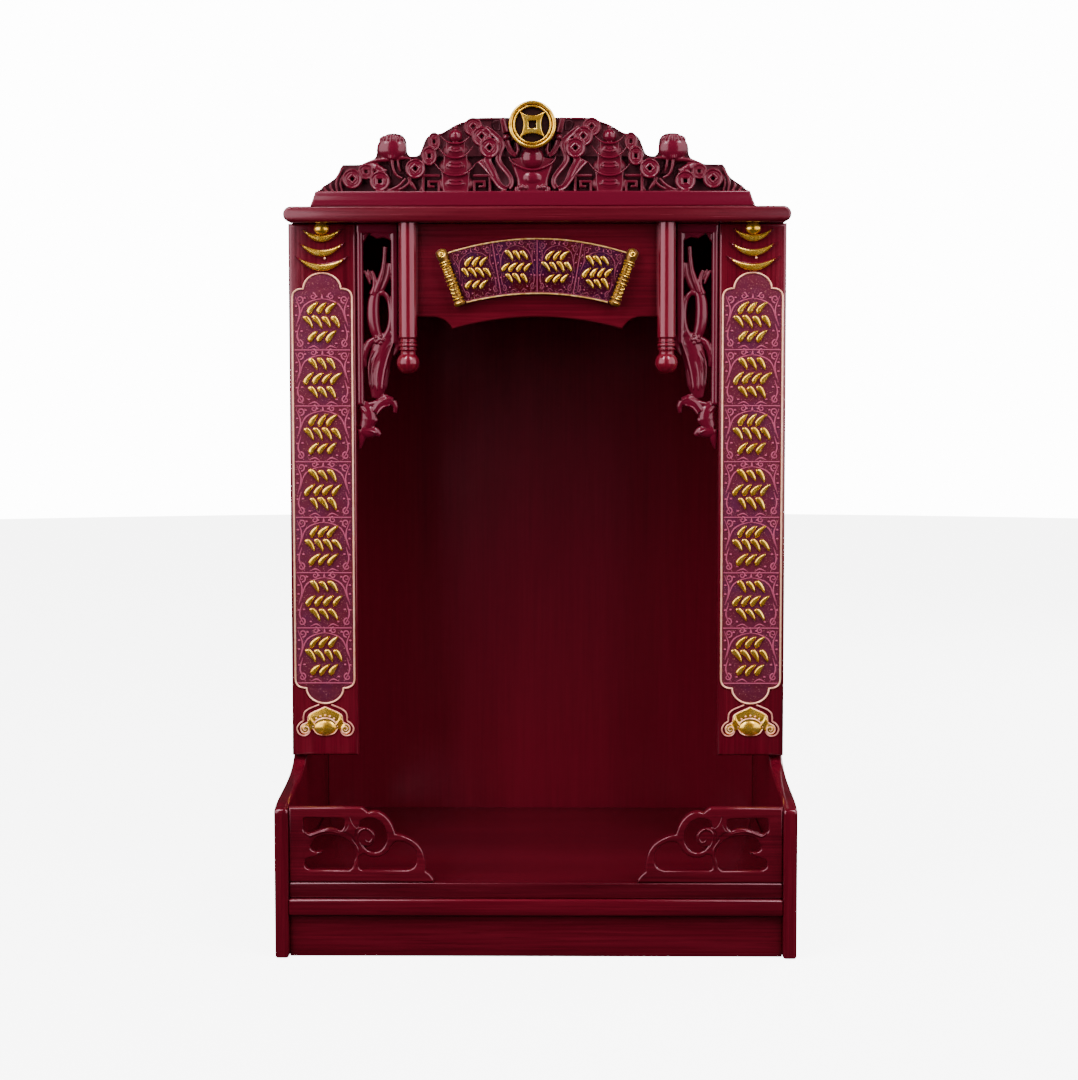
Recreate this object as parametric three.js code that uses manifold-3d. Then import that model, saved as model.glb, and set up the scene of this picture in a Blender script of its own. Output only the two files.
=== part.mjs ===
import * as THREE from 'three';
import { mergeVertices } from 'three/addons/utils/BufferGeometryUtils.js';
import Module from 'manifold-3d';

const wasm = await Module();
wasm.setup();

// Household altar cabinet. Sizes are in mm, the origin is at the middle of the underside, +Z is up
// and the front faces -Y. "joint" is the clearance between pieces that touch.
const cabinetWidth = 480;
const cabinetDepth = 380;
const carcassHeight = 680;
const joint = 0.3;
const edgeBevel = 1.2;

// Side panels, each with a foot that reaches forward as the side of the tray
const sideThick = 13;
const trayHeight = 139.5;
const trayNose = 6;
const traySwell = 9;
const shoulderHeight = 163;
const upperSetback = 150;
const backThick = 9;

// Floor board, the proud strip under it and the kick board
const floorHeight = 69.5;
const floorThick = 14.5;
const floorSetback = 4;
const ledgeHeight = 15.5;
const ledgeThick = 18;
const ledgeChamfer = 2;
const kickThick = 12;
const kickSetback = 7;

// Couplet boards and their carving
const coupletWidth = 65;
const coupletThick = 12;
const cartoucheMargin = 2.7;
const cartoucheTopGap = 46.5;
const cartoucheBottomGap = 50.5;
const cartoucheLobe = 19;
const cartoucheRise = 15;
const cartoucheShoulder = 9;
const mouldWidth = 2.2;
const mouldProud = 1.4;
const strokeCells = 7;
const strokePitch = 54;
const strokeCellSize = 40;
const strokeProud = 1.6;
const strokeRows = 3;
const strokeSpan = 0.78;
const strokeWidth = 0.16;

// Top board
const topThick = 15;
const topOverhangSide = 2.5;
const topOverhangFront = 20;

// Header board and its scroll plaque
const headerThick = 12;
const headerHeight = 90;
const cuspDrop = 11.5;
const cuspReach = 82;
const cuspShoulder = 102;
const cuspCurve = 6;
const plaqueTopHalf = 92.3;
const plaqueBottomHalf = 74.4;
const plaqueHeight = 49;
const plaqueTopGap = 28;
const plaqueTopArch = 27;
const plaqueBottomArch = 17;
const plaqueThick = 5;
const plaqueRim = 2;
const rollerRadius = 5.7;
const plaqueCells = 4;
const plaqueCellSize = 30;

// Hanging posts
const postSpacing = 248.6;
const postRadius = 8.8;
const postDrop = 145;
const postFlat = 4.5;
const postBall = 11;
const postRing = 8.9;
const postNeck = 7.6;
const postRingStep = 1.2;
const postGap = 1.3;

// Openwork brackets
const sideFretThick = 9;
const sideFretSetback = 2;
const sideFretDrop = 218;
const baseFretLength = 133;
const baseFretThick = 10;

// Crest and coin
const crestWidth = 426;
const crestRise = 84.8;
const crestRail = 14.4;
const crestThick = 13;
const crestGround = 5;
const crestSetback = 7;
const crestOffset = -4.3;
const crestCashRadius = 9.4;
const crestCashProud = 5;
const crestStackReach = 73;
const coinRadius = 22.8;
const coinThick = 6;
const coinCentre = 76.6;
const coinRecess = 2.5;
const coinRim = 5.5;
const coinOpening = THREE.MathUtils.degToRad(38);

const frontY = -cabinetDepth / 2;
const backY = cabinetDepth / 2;
const upperFrontY = frontY + upperSetback;
const boardHalf = cabinetWidth / 2 - sideThick - joint;
const carcassTop = carcassHeight - joint;
const crestFrontY = upperFrontY - topOverhangFront + crestSetback;
const crestBase = carcassHeight + topThick + joint;

const rosewood = new THREE.MeshStandardMaterial({ color: 0x6a1220, roughness: 0.25, metalness: 0 });
const gilt = new THREE.MeshStandardMaterial({ color: 0xc99a35, roughness: 0.3, metalness: 0.9 });

// Solids and meshes

function solid(geometry) {
  const bare = geometry.clone();
  bare.deleteAttribute('normal');
  bare.deleteAttribute('uv');
  const merged = mergeVertices(bare, 1e-4);
  const corners = Array.from(merged.index.array);
  const kept = [];
  for (let i = 0; i < corners.length; i += 3) {
    const [a, b, c] = corners.slice(i, i + 3);
    if (a !== b && b !== c && c !== a) {
      kept.push(a, b, c);
    }
  }
  return new wasm.Manifold(new wasm.Mesh({
    numProp: 3,
    vertProperties: merged.getAttribute('position').array,
    triVerts: Uint32Array.from(kept),
  }));
}

function geometryOf(body) {
  const mesh = body.getMesh();
  const geometry = new THREE.BufferGeometry();
  geometry.setAttribute('position', new THREE.BufferAttribute(mesh.vertProperties, 3));
  geometry.setIndex(new THREE.BufferAttribute(mesh.triVerts, 1));
  geometry.computeVertexNormals();
  return geometry;
}

function joined(geometries) {
  return geometries.map(solid).reduce((whole, piece) => whole.add(piece));
}

// The same geometry seen in a mirror, left for right
function mirrored(geometry) {
  const flipped = geometry.index ? geometry.clone() : mergeVertices(geometry);
  flipped.scale(-1, 1, 1);
  const order = flipped.index.array;
  for (let i = 0; i < order.length; i += 3) {
    [order[i], order[i + 1]] = [order[i + 1], order[i]];
  }
  flipped.computeVertexNormals();
  return flipped;
}

// A shape drawn as (across, up) becomes an upright board with its back at y = 0 and its front at -thick
function upright(shape, thick, bevel = 0, curveSegments = 5) {
  const geometry = new THREE.ExtrudeGeometry(shape, {
    depth: thick - 2 * bevel,
    bevelEnabled: bevel > 0,
    bevelThickness: bevel,
    bevelSize: bevel,
    bevelOffset: -bevel,
    bevelSegments: 1,
    curveSegments,
  });
  return geometry.translate(0, 0, bevel).rotateX(Math.PI / 2);
}

// A shape drawn as (depth, up) becomes a board that runs along X, centred on x = 0
function along(shape, length, bevel = 0, curveSegments = 8) {
  const turn = new THREE.Matrix4().makeBasis(
    new THREE.Vector3(0, 1, 0),
    new THREE.Vector3(0, 0, 1),
    new THREE.Vector3(1, 0, 0),
  );
  const geometry = new THREE.ExtrudeGeometry(shape, {
    depth: length - 2 * bevel,
    bevelEnabled: bevel > 0,
    bevelThickness: bevel,
    bevelSize: bevel,
    bevelOffset: -bevel,
    bevelSegments: 1,
    curveSegments,
  });
  return geometry.applyMatrix4(turn).translate(-length / 2 + bevel, 0, 0);
}

function plank(width, depth, height) {
  return new THREE.BoxGeometry(width, depth, height).translate(0, 0, height / 2);
}

// Outlines

function polygon(points) {
  return new THREE.Shape(points.map(([x, y]) => new THREE.Vector2(x, y)));
}

function rectangle(left, bottom, right, top) {
  return polygon([[left, bottom], [right, bottom], [right, top], [left, top]]);
}

function ellipse(x, y, halfWidth, halfHeight, sides) {
  const points = [];
  for (let i = 0; i < sides; i += 1) {
    const angle = (i / sides) * 2 * Math.PI;
    points.push([x + halfWidth * Math.cos(angle), y + halfHeight * Math.sin(angle)]);
  }
  return polygon(points);
}

// A band along a smooth line, with a width at its start, middle and end
function band(line, startWidth, middleWidth, endWidth, steps = 5) {
  const curve = new THREE.SplineCurve(line.map(([x, y]) => new THREE.Vector2(x, y)));
  const near = [];
  const far = [];
  for (let i = 0; i <= steps; i += 1) {
    const t = i / steps;
    const swell = 4 * t * (1 - t);
    const width = (startWidth * (1 - t) + endWidth * t) * (1 - swell) + middleWidth * swell;
    const point = curve.getPoint(t);
    const tangent = curve.getTangent(t);
    near.push([point.x - tangent.y * width / 2, point.y + tangent.x * width / 2]);
    far.unshift([point.x + tangent.y * width / 2, point.y - tangent.x * width / 2]);
  }
  return polygon(far.concat(near));
}

// The boat-like front of a gold ingot: tips up, belly down
function crescent(x, y, halfWidth, sag, belly, steps = 6) {
  const upper = [];
  const lower = [];
  for (let i = 0; i <= steps; i += 1) {
    const t = (2 * i) / steps - 1;
    const dip = 1 - t * t;
    upper.unshift([x + t * halfWidth, y - sag * dip]);
    if (i > 0 && i < steps) {
      lower.push([x + t * halfWidth, y - (sag + belly) * Math.pow(dip, 0.8)]);
    }
  }
  return polygon(lower.concat(upper));
}

// A repeatable number from 0 to 1 for each place, so that the strokes differ
function vary(index) {
  const wave = Math.sin(index * 12.9898 + 4.1) * 43758.5453;
  return wave - Math.floor(wave);
}

// Rows of tapered dabs that stand in a cell as writing does, but spell nothing. All of a cell's dabs
// lean the same way, and none meets another
function strokesAt(x, y, size, seed) {
  const strokes = [];
  const lean = seed % 2 === 0 ? 1 : -1;
  for (let row = 0; row < strokeRows; row += 1) {
    const count = 1 + ((row + seed) % 2);
    const turn = (lean * (0.2 + 0.3 * vary(seed + row)) * (1 + count)) / 3;
    const length = ((size * strokeSpan) / count) * (0.8 + 0.12 * vary(seed + row + 0.37));
    const width = size * strokeWidth;
    const height = y + size * (0.5 - (row + 0.5) / strokeRows);
    for (let i = 0; i < count; i += 1) {
      const middle = new THREE.Vector2(x + size * strokeSpan * ((i + 0.5) / count - 0.5), height);
      const corners = [[-1, -0.5], [0.75, -1], [1, 0.2], [-0.8, 1]].map(([a, b]) => {
        const corner = new THREE.Vector2((a * length) / 2, (b * width) / 2);
        return corner.rotateAround(new THREE.Vector2(), turn).add(middle);
      });
      strokes.push(new THREE.Shape(corners));
    }
  }
  return strokes;
}

// Carcass

function sidePanel() {
  const shoulderY = upperFrontY + coupletThick + joint;
  const outline = new THREE.Shape();
  outline.moveTo(frontY, 0);
  outline.lineTo(backY, 0);
  outline.lineTo(backY, carcassTop);
  outline.lineTo(shoulderY, carcassTop);
  outline.lineTo(shoulderY, shoulderHeight - joint);
  outline.bezierCurveTo(
    shoulderY - upperSetback * 0.2, trayHeight + traySwell * 0.1,
    frontY + upperSetback * 0.25, trayHeight + traySwell,
    frontY + trayNose, trayHeight,
  );
  outline.quadraticCurveTo(frontY, trayHeight, frontY, trayHeight - trayNose);
  return geometryOf(solid(along(outline, sideThick, edgeBevel)));
}

function backPanel() {
  return geometryOf(solid(plank(2 * boardHalf, backThick, carcassTop)));
}

// One board, whose faces are divided where the brackets end and where the niche begins
function floorBoard() {
  const lines = [
    frontY + floorSetback,
    frontY + floorSetback + baseFretThick + joint,
    upperFrontY,
    backY - backThick - joint,
  ];
  const strips = lines.length - 1;
  const board = new THREE.BoxGeometry(2 * boardHalf, strips, floorThick, 1, strips, 1);
  const position = board.getAttribute('position');
  for (let i = 0; i < position.count; i += 1) {
    position.setY(i, lines[Math.round(position.getY(i) + strips / 2)]);
  }
  return board.translate(0, 0, floorThick / 2);
}

function ledgeStrip() {
  const section = polygon([
    [0, ledgeChamfer],
    [ledgeChamfer, 0],
    [ledgeThick, 0],
    [ledgeThick, ledgeHeight],
    [ledgeChamfer, ledgeHeight],
    [0, ledgeHeight - ledgeChamfer],
  ]);
  return geometryOf(solid(along(section, 2 * boardHalf)));
}

function kickBoard() {
  const height = floorHeight - floorThick - ledgeHeight - 2 * joint;
  return geometryOf(solid(plank(2 * boardHalf, kickThick, height)));
}

// The front view of the top board has half-round ends
function topBoard() {
  const half = cabinetWidth / 2 + topOverhangSide;
  const round = topThick / 2;
  const outline = new THREE.Shape();
  outline.absarc(half - round, round, round, -Math.PI / 2, Math.PI / 2, false);
  outline.absarc(round - half, round, round, Math.PI / 2, 1.5 * Math.PI, false);
  const depth = cabinetDepth - upperSetback + topOverhangFront;
  return geometryOf(solid(upright(outline, depth, edgeBevel, 4)));
}

// Couplet boards

function cartouche(inset) {
  const half = coupletWidth / 2 - cartoucheMargin - inset;
  const lobe = Math.min(cartoucheLobe, half * 0.8) - inset;
  const height = carcassTop - shoulderHeight;
  const top = height - cartoucheTopGap - inset;
  const bottom = cartoucheBottomGap + inset;
  const topNotch = top - cartoucheRise;
  const bottomNotch = bottom + cartoucheRise;
  const outline = new THREE.Shape();
  outline.moveTo(half, bottomNotch + cartoucheShoulder);
  outline.lineTo(half, topNotch - cartoucheShoulder);
  outline.quadraticCurveTo(half, topNotch, lobe, topNotch);
  outline.absellipse(0, topNotch, lobe, cartoucheRise, 0, Math.PI, false);
  outline.quadraticCurveTo(-half, topNotch, -half, topNotch - cartoucheShoulder);
  outline.lineTo(-half, bottomNotch + cartoucheShoulder);
  outline.quadraticCurveTo(-half, bottomNotch, -lobe, bottomNotch);
  outline.absellipse(0, bottomNotch, lobe, cartoucheRise, Math.PI, 2 * Math.PI, false);
  outline.quadraticCurveTo(half, bottomNotch, half, bottomNotch + cartoucheShoulder);
  return outline;
}

// Relief starts 1 mm inside the board, so that it is one solid with it
const reliefRoot = 1;

function relief(shape, boardThick, proud, curveSegments = 4) {
  const slab = upright(shape, proud + reliefRoot, 0, curveSegments);
  return slab.translate(0, reliefRoot - boardThick, 0);
}

function ball(x, z, radius, boardThick, flat = 0.6) {
  const sphere = new THREE.SphereGeometry(radius, 10, 5);
  return sphere.scale(1, flat, 1).translate(x, -boardThick, z);
}

function coupletBoard() {
  const height = carcassTop - shoulderHeight;
  const half = coupletWidth / 2;
  const pieces = [upright(rectangle(-half, 0, half, height), coupletThick, edgeBevel)];
  const moulding = cartouche(0);
  moulding.holes.push(cartouche(mouldWidth));
  pieces.push(relief(moulding, coupletThick, mouldProud));
  const middle = (height - cartoucheTopGap + cartoucheBottomGap) / 2;
  for (let cell = 0; cell < strokeCells; cell += 1) {
    const centre = middle + (cell - (strokeCells - 1) / 2) * strokePitch;
    for (const stroke of strokesAt(0, centre, strokeCellSize, cell * 7)) {
      pieces.push(relief(stroke, coupletThick, strokeProud));
    }
  }
  // Three stacked ingots with a ball above the cartouche
  const stackTop = height - 6;
  for (let tier = 0; tier < 3; tier += 1) {
    const tip = stackTop - tier * 13.2;
    const halfWidth = coupletWidth * (0.29 + 0.05 * tier);
    pieces.push(relief(crescent(0, tip, halfWidth, 6, 7), coupletThick, 3));
  }
  pieces.push(ball(0, stackTop, coupletWidth * 0.1, coupletThick));
  // A single ingot under a scrolled hood, below the cartouche
  const hoodBase = cartoucheBottomGap - 30.5;
  const hood = [[0.28, 0], [0.28, 0.45], [0.2, 0.8], [0, 1], [-0.2, 0.8], [-0.28, 0.45], [-0.28, 0]];
  pieces.push(relief(polygon(hood.map(([a, b]) => [a * coupletWidth, hoodBase + b * 28])), coupletThick, 2));
  for (const side of [-1, 1]) {
    pieces.push(relief(ellipse(side * coupletWidth * 0.31, hoodBase + 7, 7, 7, 10), coupletThick, 2.4));
  }
  pieces.push(relief(ellipse(0, hoodBase + 7, coupletWidth * 0.19, 7, 10), coupletThick, 3));
  return geometryOf(joined(pieces));
}

// Header board, plaque and posts

function headerBoard() {
  const half = postSpacing / 2 + postRadius;
  const outline = new THREE.Shape();
  outline.moveTo(-half, 0);
  outline.lineTo(-cuspShoulder, 0);
  outline.quadraticCurveTo(-cuspReach - cuspCurve, 0, -cuspReach, -cuspDrop);
  outline.quadraticCurveTo(-cuspReach / 2, 0, 0, 0);
  outline.quadraticCurveTo(cuspReach / 2, 0, cuspReach, -cuspDrop);
  outline.quadraticCurveTo(cuspReach + cuspCurve, 0, cuspShoulder, 0);
  outline.lineTo(half, 0);
  outline.lineTo(half, headerHeight - joint);
  outline.lineTo(-half, headerHeight - joint);
  return geometryOf(solid(upright(outline, headerThick, edgeBevel, 6)));
}

function fan(inset) {
  const top = plaqueHeight - inset;
  const topHalf = plaqueTopHalf - rollerRadius - inset;
  const bottomHalf = plaqueBottomHalf - rollerRadius - inset;
  const outline = new THREE.Shape();
  outline.moveTo(-bottomHalf, inset);
  outline.quadraticCurveTo(0, inset + plaqueBottomArch, bottomHalf, inset);
  outline.lineTo(topHalf, top);
  outline.quadraticCurveTo(0, top + plaqueTopArch, -topHalf, top);
  return outline;
}

function roller(side) {
  const length = Math.hypot(plaqueHeight, plaqueTopHalf - plaqueBottomHalf) + rollerRadius;
  const lean = Math.atan2(plaqueTopHalf - plaqueBottomHalf, plaqueHeight);
  const body = new THREE.CylinderGeometry(rollerRadius, rollerRadius, length, 10);
  body.rotateX(Math.PI / 2).rotateY(side * lean);
  const centre = (plaqueTopHalf + plaqueBottomHalf) / 2;
  return body.translate(side * centre, -rollerRadius, plaqueHeight / 2);
}

function scrollPlaque() {
  const pieces = [upright(fan(0), plaqueThick, 0, 7), roller(-1), roller(1)];
  const rim = fan(0);
  rim.holes.push(fan(plaqueRim));
  pieces.push(relief(rim, plaqueThick, mouldProud, 7));
  for (let cell = 0; cell < plaqueCells; cell += 1) {
    const share = (cell + 0.5) / plaqueCells - 0.5;
    const x = share * (plaqueTopHalf + plaqueBottomHalf - 2 * rollerRadius);
    const rise = (plaqueTopArch + plaqueBottomArch) / 4;
    const z = plaqueHeight / 2 + rise * (1 - 4 * share * share);
    for (const stroke of strokesAt(x, z, plaqueCellSize, 60 + cell * 7)) {
      pieces.push(relief(stroke, plaqueThick, strokeProud));
    }
  }
  return geometryOf(joined(pieces));
}

// A turned post: a ball under three rings, a neck and a plain shaft
function hangingPost() {
  const ballTop = 2 * postBall;
  const profile = [
    [0, 0],
    [postBall * 0.55, ballTop * 0.055],
    [postBall * 0.86, ballTop * 0.22],
    [postBall, ballTop * 0.48],
    [postBall * 0.92, ballTop * 0.75],
    [postBall * 0.7, ballTop],
    [postRing, ballTop + postRingStep],
    [postRing, ballTop + postRingStep * 2.5],
    [postNeck, ballTop + postRingStep * 3.1],
    [postRing, ballTop + postRingStep * 4],
    [postRing, ballTop + postRingStep * 6.2],
    [postNeck, ballTop + postRingStep * 7.6],
    [postNeck, ballTop + postRingStep * 9.6],
    [postRadius, ballTop + postRingStep * 11],
    [postRadius, postDrop],
    [0, postDrop],
  ];
  const points = profile.map(([radius, height]) => new THREE.Vector2(radius, height));
  const body = new THREE.LatheGeometry(points, 12).rotateX(Math.PI / 2);
  // The back of the shaft is flat where it meets the header board
  const behind = new THREE.BoxGeometry(4 * postRadius, 2 * postRadius, 2 * headerHeight);
  behind.translate(0, postFlat + postRadius, postDrop);
  return geometryOf(solid(body).subtract(solid(behind)));
}

// Openwork brackets

function sideFretwork() {
  const width = cabinetWidth / 2 - coupletWidth - postSpacing / 2 - postRadius - joint - postGap;
  const drop = sideFretDrop;
  const leaf = (line, ...widths) => band(line.map(([a, b]) => [a * width, -b * drop]), ...widths);
  const shapes = [
    rectangle(0, -drop * 0.055, width, 0),
    rectangle(0, -drop * 0.88, width * 0.13, 0),
    rectangle(width * 0.9, -drop * 0.5, width, 0),
    leaf([[0.92, 0.03], [0.7, 0.13], [0.42, 0.26], [0.3, 0.42], [0.42, 0.54], [0.8, 0.55]], 3, 9, 9, 7),
    leaf([[0.45, 0.2], [0.8, 0.31], [0.9, 0.42], [0.8, 0.53], [0.5, 0.6]], 4, 7, 9, 6),
    leaf([[0.85, 0.5], [0.52, 0.64], [0.42, 0.76], [0.6, 0.83], [0.88, 0.8]], 8, 17, 5, 7),
    leaf([[0.9, 0.83], [0.5, 0.82], [0.05, 0.9]], 4, 9, 6),
    leaf([[0.08, 0.84], [0.1, 0.92], [0.05, 0.995]], 5, 7, 1.5, 4),
    leaf([[0.06, 0.93], [0.3, 0.93], [0.52, 0.96]], 8, 8, 4, 4),
  ];
  return geometryOf(joined(shapes.map((shape) => upright(shape, sideFretThick))));
}

function baseFretwork() {
  const height = trayHeight - floorHeight - joint;
  const at = (a, b) => [a * baseFretLength, b * height];
  const opening = (shares) => polygon(shares.map(([a, b]) => at(a, b)));
  const outline = new THREE.Shape();
  outline.moveTo(0, 0);
  outline.lineTo(baseFretLength, 0);
  outline.quadraticCurveTo(...at(0.995, 0.09), ...at(0.945, 0.16));
  outline.quadraticCurveTo(...at(0.95, 0.52), ...at(0.81, 0.61));
  outline.quadraticCurveTo(...at(0.765, 0.63), ...at(0.735, 0.61));
  outline.quadraticCurveTo(...at(0.715, 0.95), ...at(0.62, 0.955));
  outline.lineTo(...at(0.535, 0.93));
  outline.lineTo(...at(0.495, 1));
  outline.lineTo(0, height);
  // The upper left opening, over a wavy band
  outline.holes.push(opening([
    [0.1, 0.66], [0.155, 0.64], [0.22, 0.7], [0.37, 0.68], [0.41, 0.72], [0.41, 0.87], [0.1, 0.87],
  ]));
  // The lower left opening, with a leaf cusp at its outer side
  outline.holes.push(opening([
    [0.1, 0.18], [0.12, 0.15], [0.49, 0.15], [0.53, 0.3], [0.5, 0.48], [0.42, 0.57],
    [0.26, 0.58], [0.12, 0.52], [0.1, 0.45], [0.2, 0.4], [0.1, 0.35],
  ]));
  // The C-shaped opening round the spiral
  outline.holes.push(opening([
    [0.53, 0.68], [0.52, 0.82], [0.62, 0.84], [0.675, 0.68], [0.665, 0.5], [0.61, 0.42],
    [0.55, 0.45], [0.535, 0.52], [0.6, 0.5], [0.625, 0.6], [0.59, 0.69],
  ]));
  // The lower right opening
  outline.holes.push(opening([
    [0.54, 0.17], [0.56, 0.15], [0.86, 0.15], [0.9, 0.22], [0.89, 0.38], [0.83, 0.47],
    [0.78, 0.48], [0.71, 0.4], [0.6, 0.33], [0.55, 0.35],
  ]));
  return geometryOf(solid(upright(outline, baseFretThick, 0, 4)));
}

// Crest

function crestOutline() {
  const half = [
    [0, 0.99], [0.12, 1], [0.2, 1], [0.3, 0.97], [0.36, 0.91], [0.4, 0.84], [0.47, 0.8], [0.5, 0.67],
    [0.515, 0.565], [0.55, 0.56], [0.57, 0.66], [0.59, 0.79], [0.63, 0.81], [0.68, 0.75], [0.7, 0.62],
    [0.705, 0.52], [0.745, 0.47], [0.78, 0.45], [0.855, 0.44], [0.89, 0.31], [0.945, 0.21], [0.97, 0.175],
    [1, 0.05],
  ];
  const right = half.map(([a, b]) => [a * crestWidth / 2, b * crestRise]);
  const left = right.slice(1).map(([x, z]) => [-x, z]);
  return polygon([[-crestWidth / 2, 0], [crestWidth / 2, 0], ...right.slice().reverse(), ...left]);
}

function cash(x, z, proud, lean = 1) {
  const disc = ellipse(x, z, crestCashRadius * lean, crestCashRadius, 9);
  const hole = crestCashRadius * 0.25;
  if (lean === 1) {
    disc.holes.push(polygon([[x - hole, z], [x, z + hole], [x + hole, z], [x, z - hole]]));
  }
  return relief(disc, crestGround, proud);
}

// Three ingots of growing width, one on another, with a ball on top
function ingotStack(x) {
  const pieces = [];
  const foot = crestRail - reliefRoot;
  const body = polygon([
    [x - 13.5, foot], [x + 13.5, foot], [x + 15, 36], [x + 10, 62], [x - 10, 62], [x - 15, 36],
  ]);
  pieces.push(relief(body, crestGround, 4.5));
  for (const [tip, halfWidth, sag] of [[65, 14.5, 7], [54, 17, 9], [38, 20, 9]]) {
    pieces.push(relief(crescent(x, tip, halfWidth, sag, 6, 5), crestGround, 7));
  }
  pieces.push(ball(x, 65, 6.3, crestGround + 1.5, 0.95));
  return pieces;
}

function keySquare(x) {
  const frame = rectangle(x - 8.7, crestRail - 1, x + 8.7, crestRail + 13.3);
  frame.holes.push(rectangle(x - 6, crestRail, x + 6, crestRail + 10.6));
  const hook = rectangle(x - 3.4, crestRail + 2.6, x + 3.4, crestRail + 7.6);
  return [relief(frame, crestGround, 3), relief(hook, crestGround, 3)];
}

// The carving right of the middle, in mm as drawn for a crest of the size below
const drawnCrestWidth = 426;
const drawnCrestRise = 82.5;

function crestSide() {
  const stack = crestStackReach;
  const pieces = ingotStack(stack);
  pieces.push(...keySquare(stack + 23), ...keySquare(stack - 25.5));
  // Strings of cash coins
  const coins = [
    [54.8, 73, 4, 1], [48.1, 63, 5, 1], [41.5, 53.1, 6, 1], [95.1, 59.8, 4, 0.6], [99, 44.7, 5, 0.6],
    [112, 34.3, 6, 1], [172.3, 23.9, 5, 1], [157, 29.9, 4, 0.9], [145.5, 22.7, 6, 1],
  ];
  for (const [x, z, proud, lean] of coins) {
    pieces.push(cash(x, z, proud * crestCashProud / 5, lean));
  }
  // The ribbed knob on its leafy stem
  pieces.push(ball(133.9, 54.4, 13, crestGround, 0.55));
  pieces.push(relief(band([[118, 42], [136, 43], [158, 36]], 3, 7, 2), crestGround, 4));
  pieces.push(relief(band([[136, 42], [132, 28], [118, 17]], 7, 6, 2), crestGround, 5));
  pieces.push(relief(band([[119, 40], [128, 30], [138, 14]], 3, 4, 3), crestGround, 4));
  // Ribbons from the middle coin, round a loop and out to the stack
  const drop = band([[28, 79], [27, 55], [36, 38], [37, 22], [28, 15]], 4, 4.5, 4, 7);
  const loop = band([[55, 43], [42, 33], [35, 20], [28, 14.5], [21, 20], [22, 32]], 8, 4, 4, 9);
  const curl = band([[22, 50], [18, 56], [24, 60], [28, 70]], 6, 4, 3);
  pieces.push(relief(drop, crestGround, 5), relief(loop, crestGround, 6), relief(curl, crestGround, 4));
  // Blades of grass at the far end
  for (let blade = 0; blade < 3; blade += 1) {
    const root = 178 + blade * 8;
    const line = [[root, crestRail], [root + 3, crestRail + 8 - blade * 2]];
    pieces.push(relief(band(line, 3, 2, 1, 2), crestGround, 2.5));
  }
  return pieces;
}

function crestPanel() {
  const rail = rectangle(-crestWidth / 2, 0, crestWidth / 2, crestRail);
  const foot = crestRail - reliefRoot;
  const middle = [
    relief(crescent(0, 44, 23.5, 10, 5, 8), crestGround, 7),
    relief(polygon([[-14.8, foot], [14.8, foot], [18, 34], [-18, 34]]), crestGround, 5.5),
    ball(0, 46.3, 10.2, crestGround, 0.7),
    ball(-11, 16.3, 2.6, crestGround + 5.5, 0.5),
    ball(11, 16.3, 2.6, crestGround + 5.5, 0.5),
  ];
  const right = crestSide();
  const carving = middle.concat(right, right.map(mirrored));
  for (const piece of carving) {
    piece.scale(crestWidth / drawnCrestWidth, 1, crestRise / drawnCrestRise);
  }
  const boards = [upright(crestOutline(), crestGround + 1), upright(rail, crestThick, edgeBevel)];
  const bounds = solid(upright(crestOutline(), crestThick));
  return geometryOf(joined(boards.concat(carving)).intersect(bounds));
}

// The coin has a round rim and a curved frame round a square hole. Its four openings are recesses
function crestCoin() {
  const disc = upright(ellipse(0, 0, coinRadius, coinRadius, 24), coinThick, edgeBevel, 1);
  const reach = coinRadius - coinRim;
  const waist = reach * 0.42;
  const arm = reach * Math.SQRT1_2;
  let body = solid(disc);
  for (let turn = 0; turn < 4; turn += 1) {
    const lens = [];
    for (let i = -2; i <= 2; i += 1) {
      const angle = Math.PI / 2 + (i / 2) * coinOpening;
      lens.push([reach * Math.cos(angle), reach * Math.sin(angle)]);
    }
    lens.push([-arm * 0.5, waist * 1.12], [0, waist], [arm * 0.5, waist * 1.12]);
    const cut = upright(polygon(lens), coinRecess + 1);
    cut.rotateY((turn * Math.PI) / 2).translate(0, coinRecess - coinThick, 0);
    body = body.subtract(solid(cut));
  }
  const hole = waist * 0.62;
  const square = upright(rectangle(-hole, -hole, hole, hole), coinRecess + 1);
  square.translate(0, coinRecess - coinThick, 0);
  return geometryOf(body.subtract(solid(square)));
}

// Assembly

const cabinet = new THREE.Group();

function place(name, geometry, x, y, z, material = rosewood) {
  const mesh = new THREE.Mesh(geometry, material);
  mesh.name = name;
  mesh.position.set(x, y, z);
  cabinet.add(mesh);
}

function placePair(name, geometry, x, y, z) {
  place(`${name}_left`, geometry, -x, y, z);
  place(`${name}_right`, mirrored(geometry), x, y, z);
}

const ledgeBottom = floorHeight - floorThick - joint - ledgeHeight;
const postY = upperFrontY - joint - postFlat;
const plaqueBase = carcassHeight - plaqueTopGap - plaqueHeight;

placePair('side_panel', sidePanel(), (cabinetWidth - sideThick) / 2, 0, 0);
place('back_panel', backPanel(), 0, backY - backThick / 2, 0);
place('floor_board', floorBoard(), 0, 0, floorHeight - floorThick);
place('ledge_strip', ledgeStrip(), 0, frontY, ledgeBottom);
place('kick_board', kickBoard(), 0, frontY + kickSetback + kickThick / 2, 0);
placePair(
  'base_fretwork', baseFretwork(), boardHalf, frontY + floorSetback + baseFretThick, floorHeight + joint,
);
placePair(
  'couplet_board', coupletBoard(),
  (cabinetWidth - coupletWidth) / 2, upperFrontY + coupletThick, shoulderHeight,
);
place('header_board', headerBoard(), 0, upperFrontY + headerThick, carcassHeight - headerHeight);
place('scroll_plaque', scrollPlaque(), 0, upperFrontY - joint, plaqueBase, gilt);
placePair('hanging_post', hangingPost(), postSpacing / 2, postY, carcassTop - postDrop);
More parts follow.
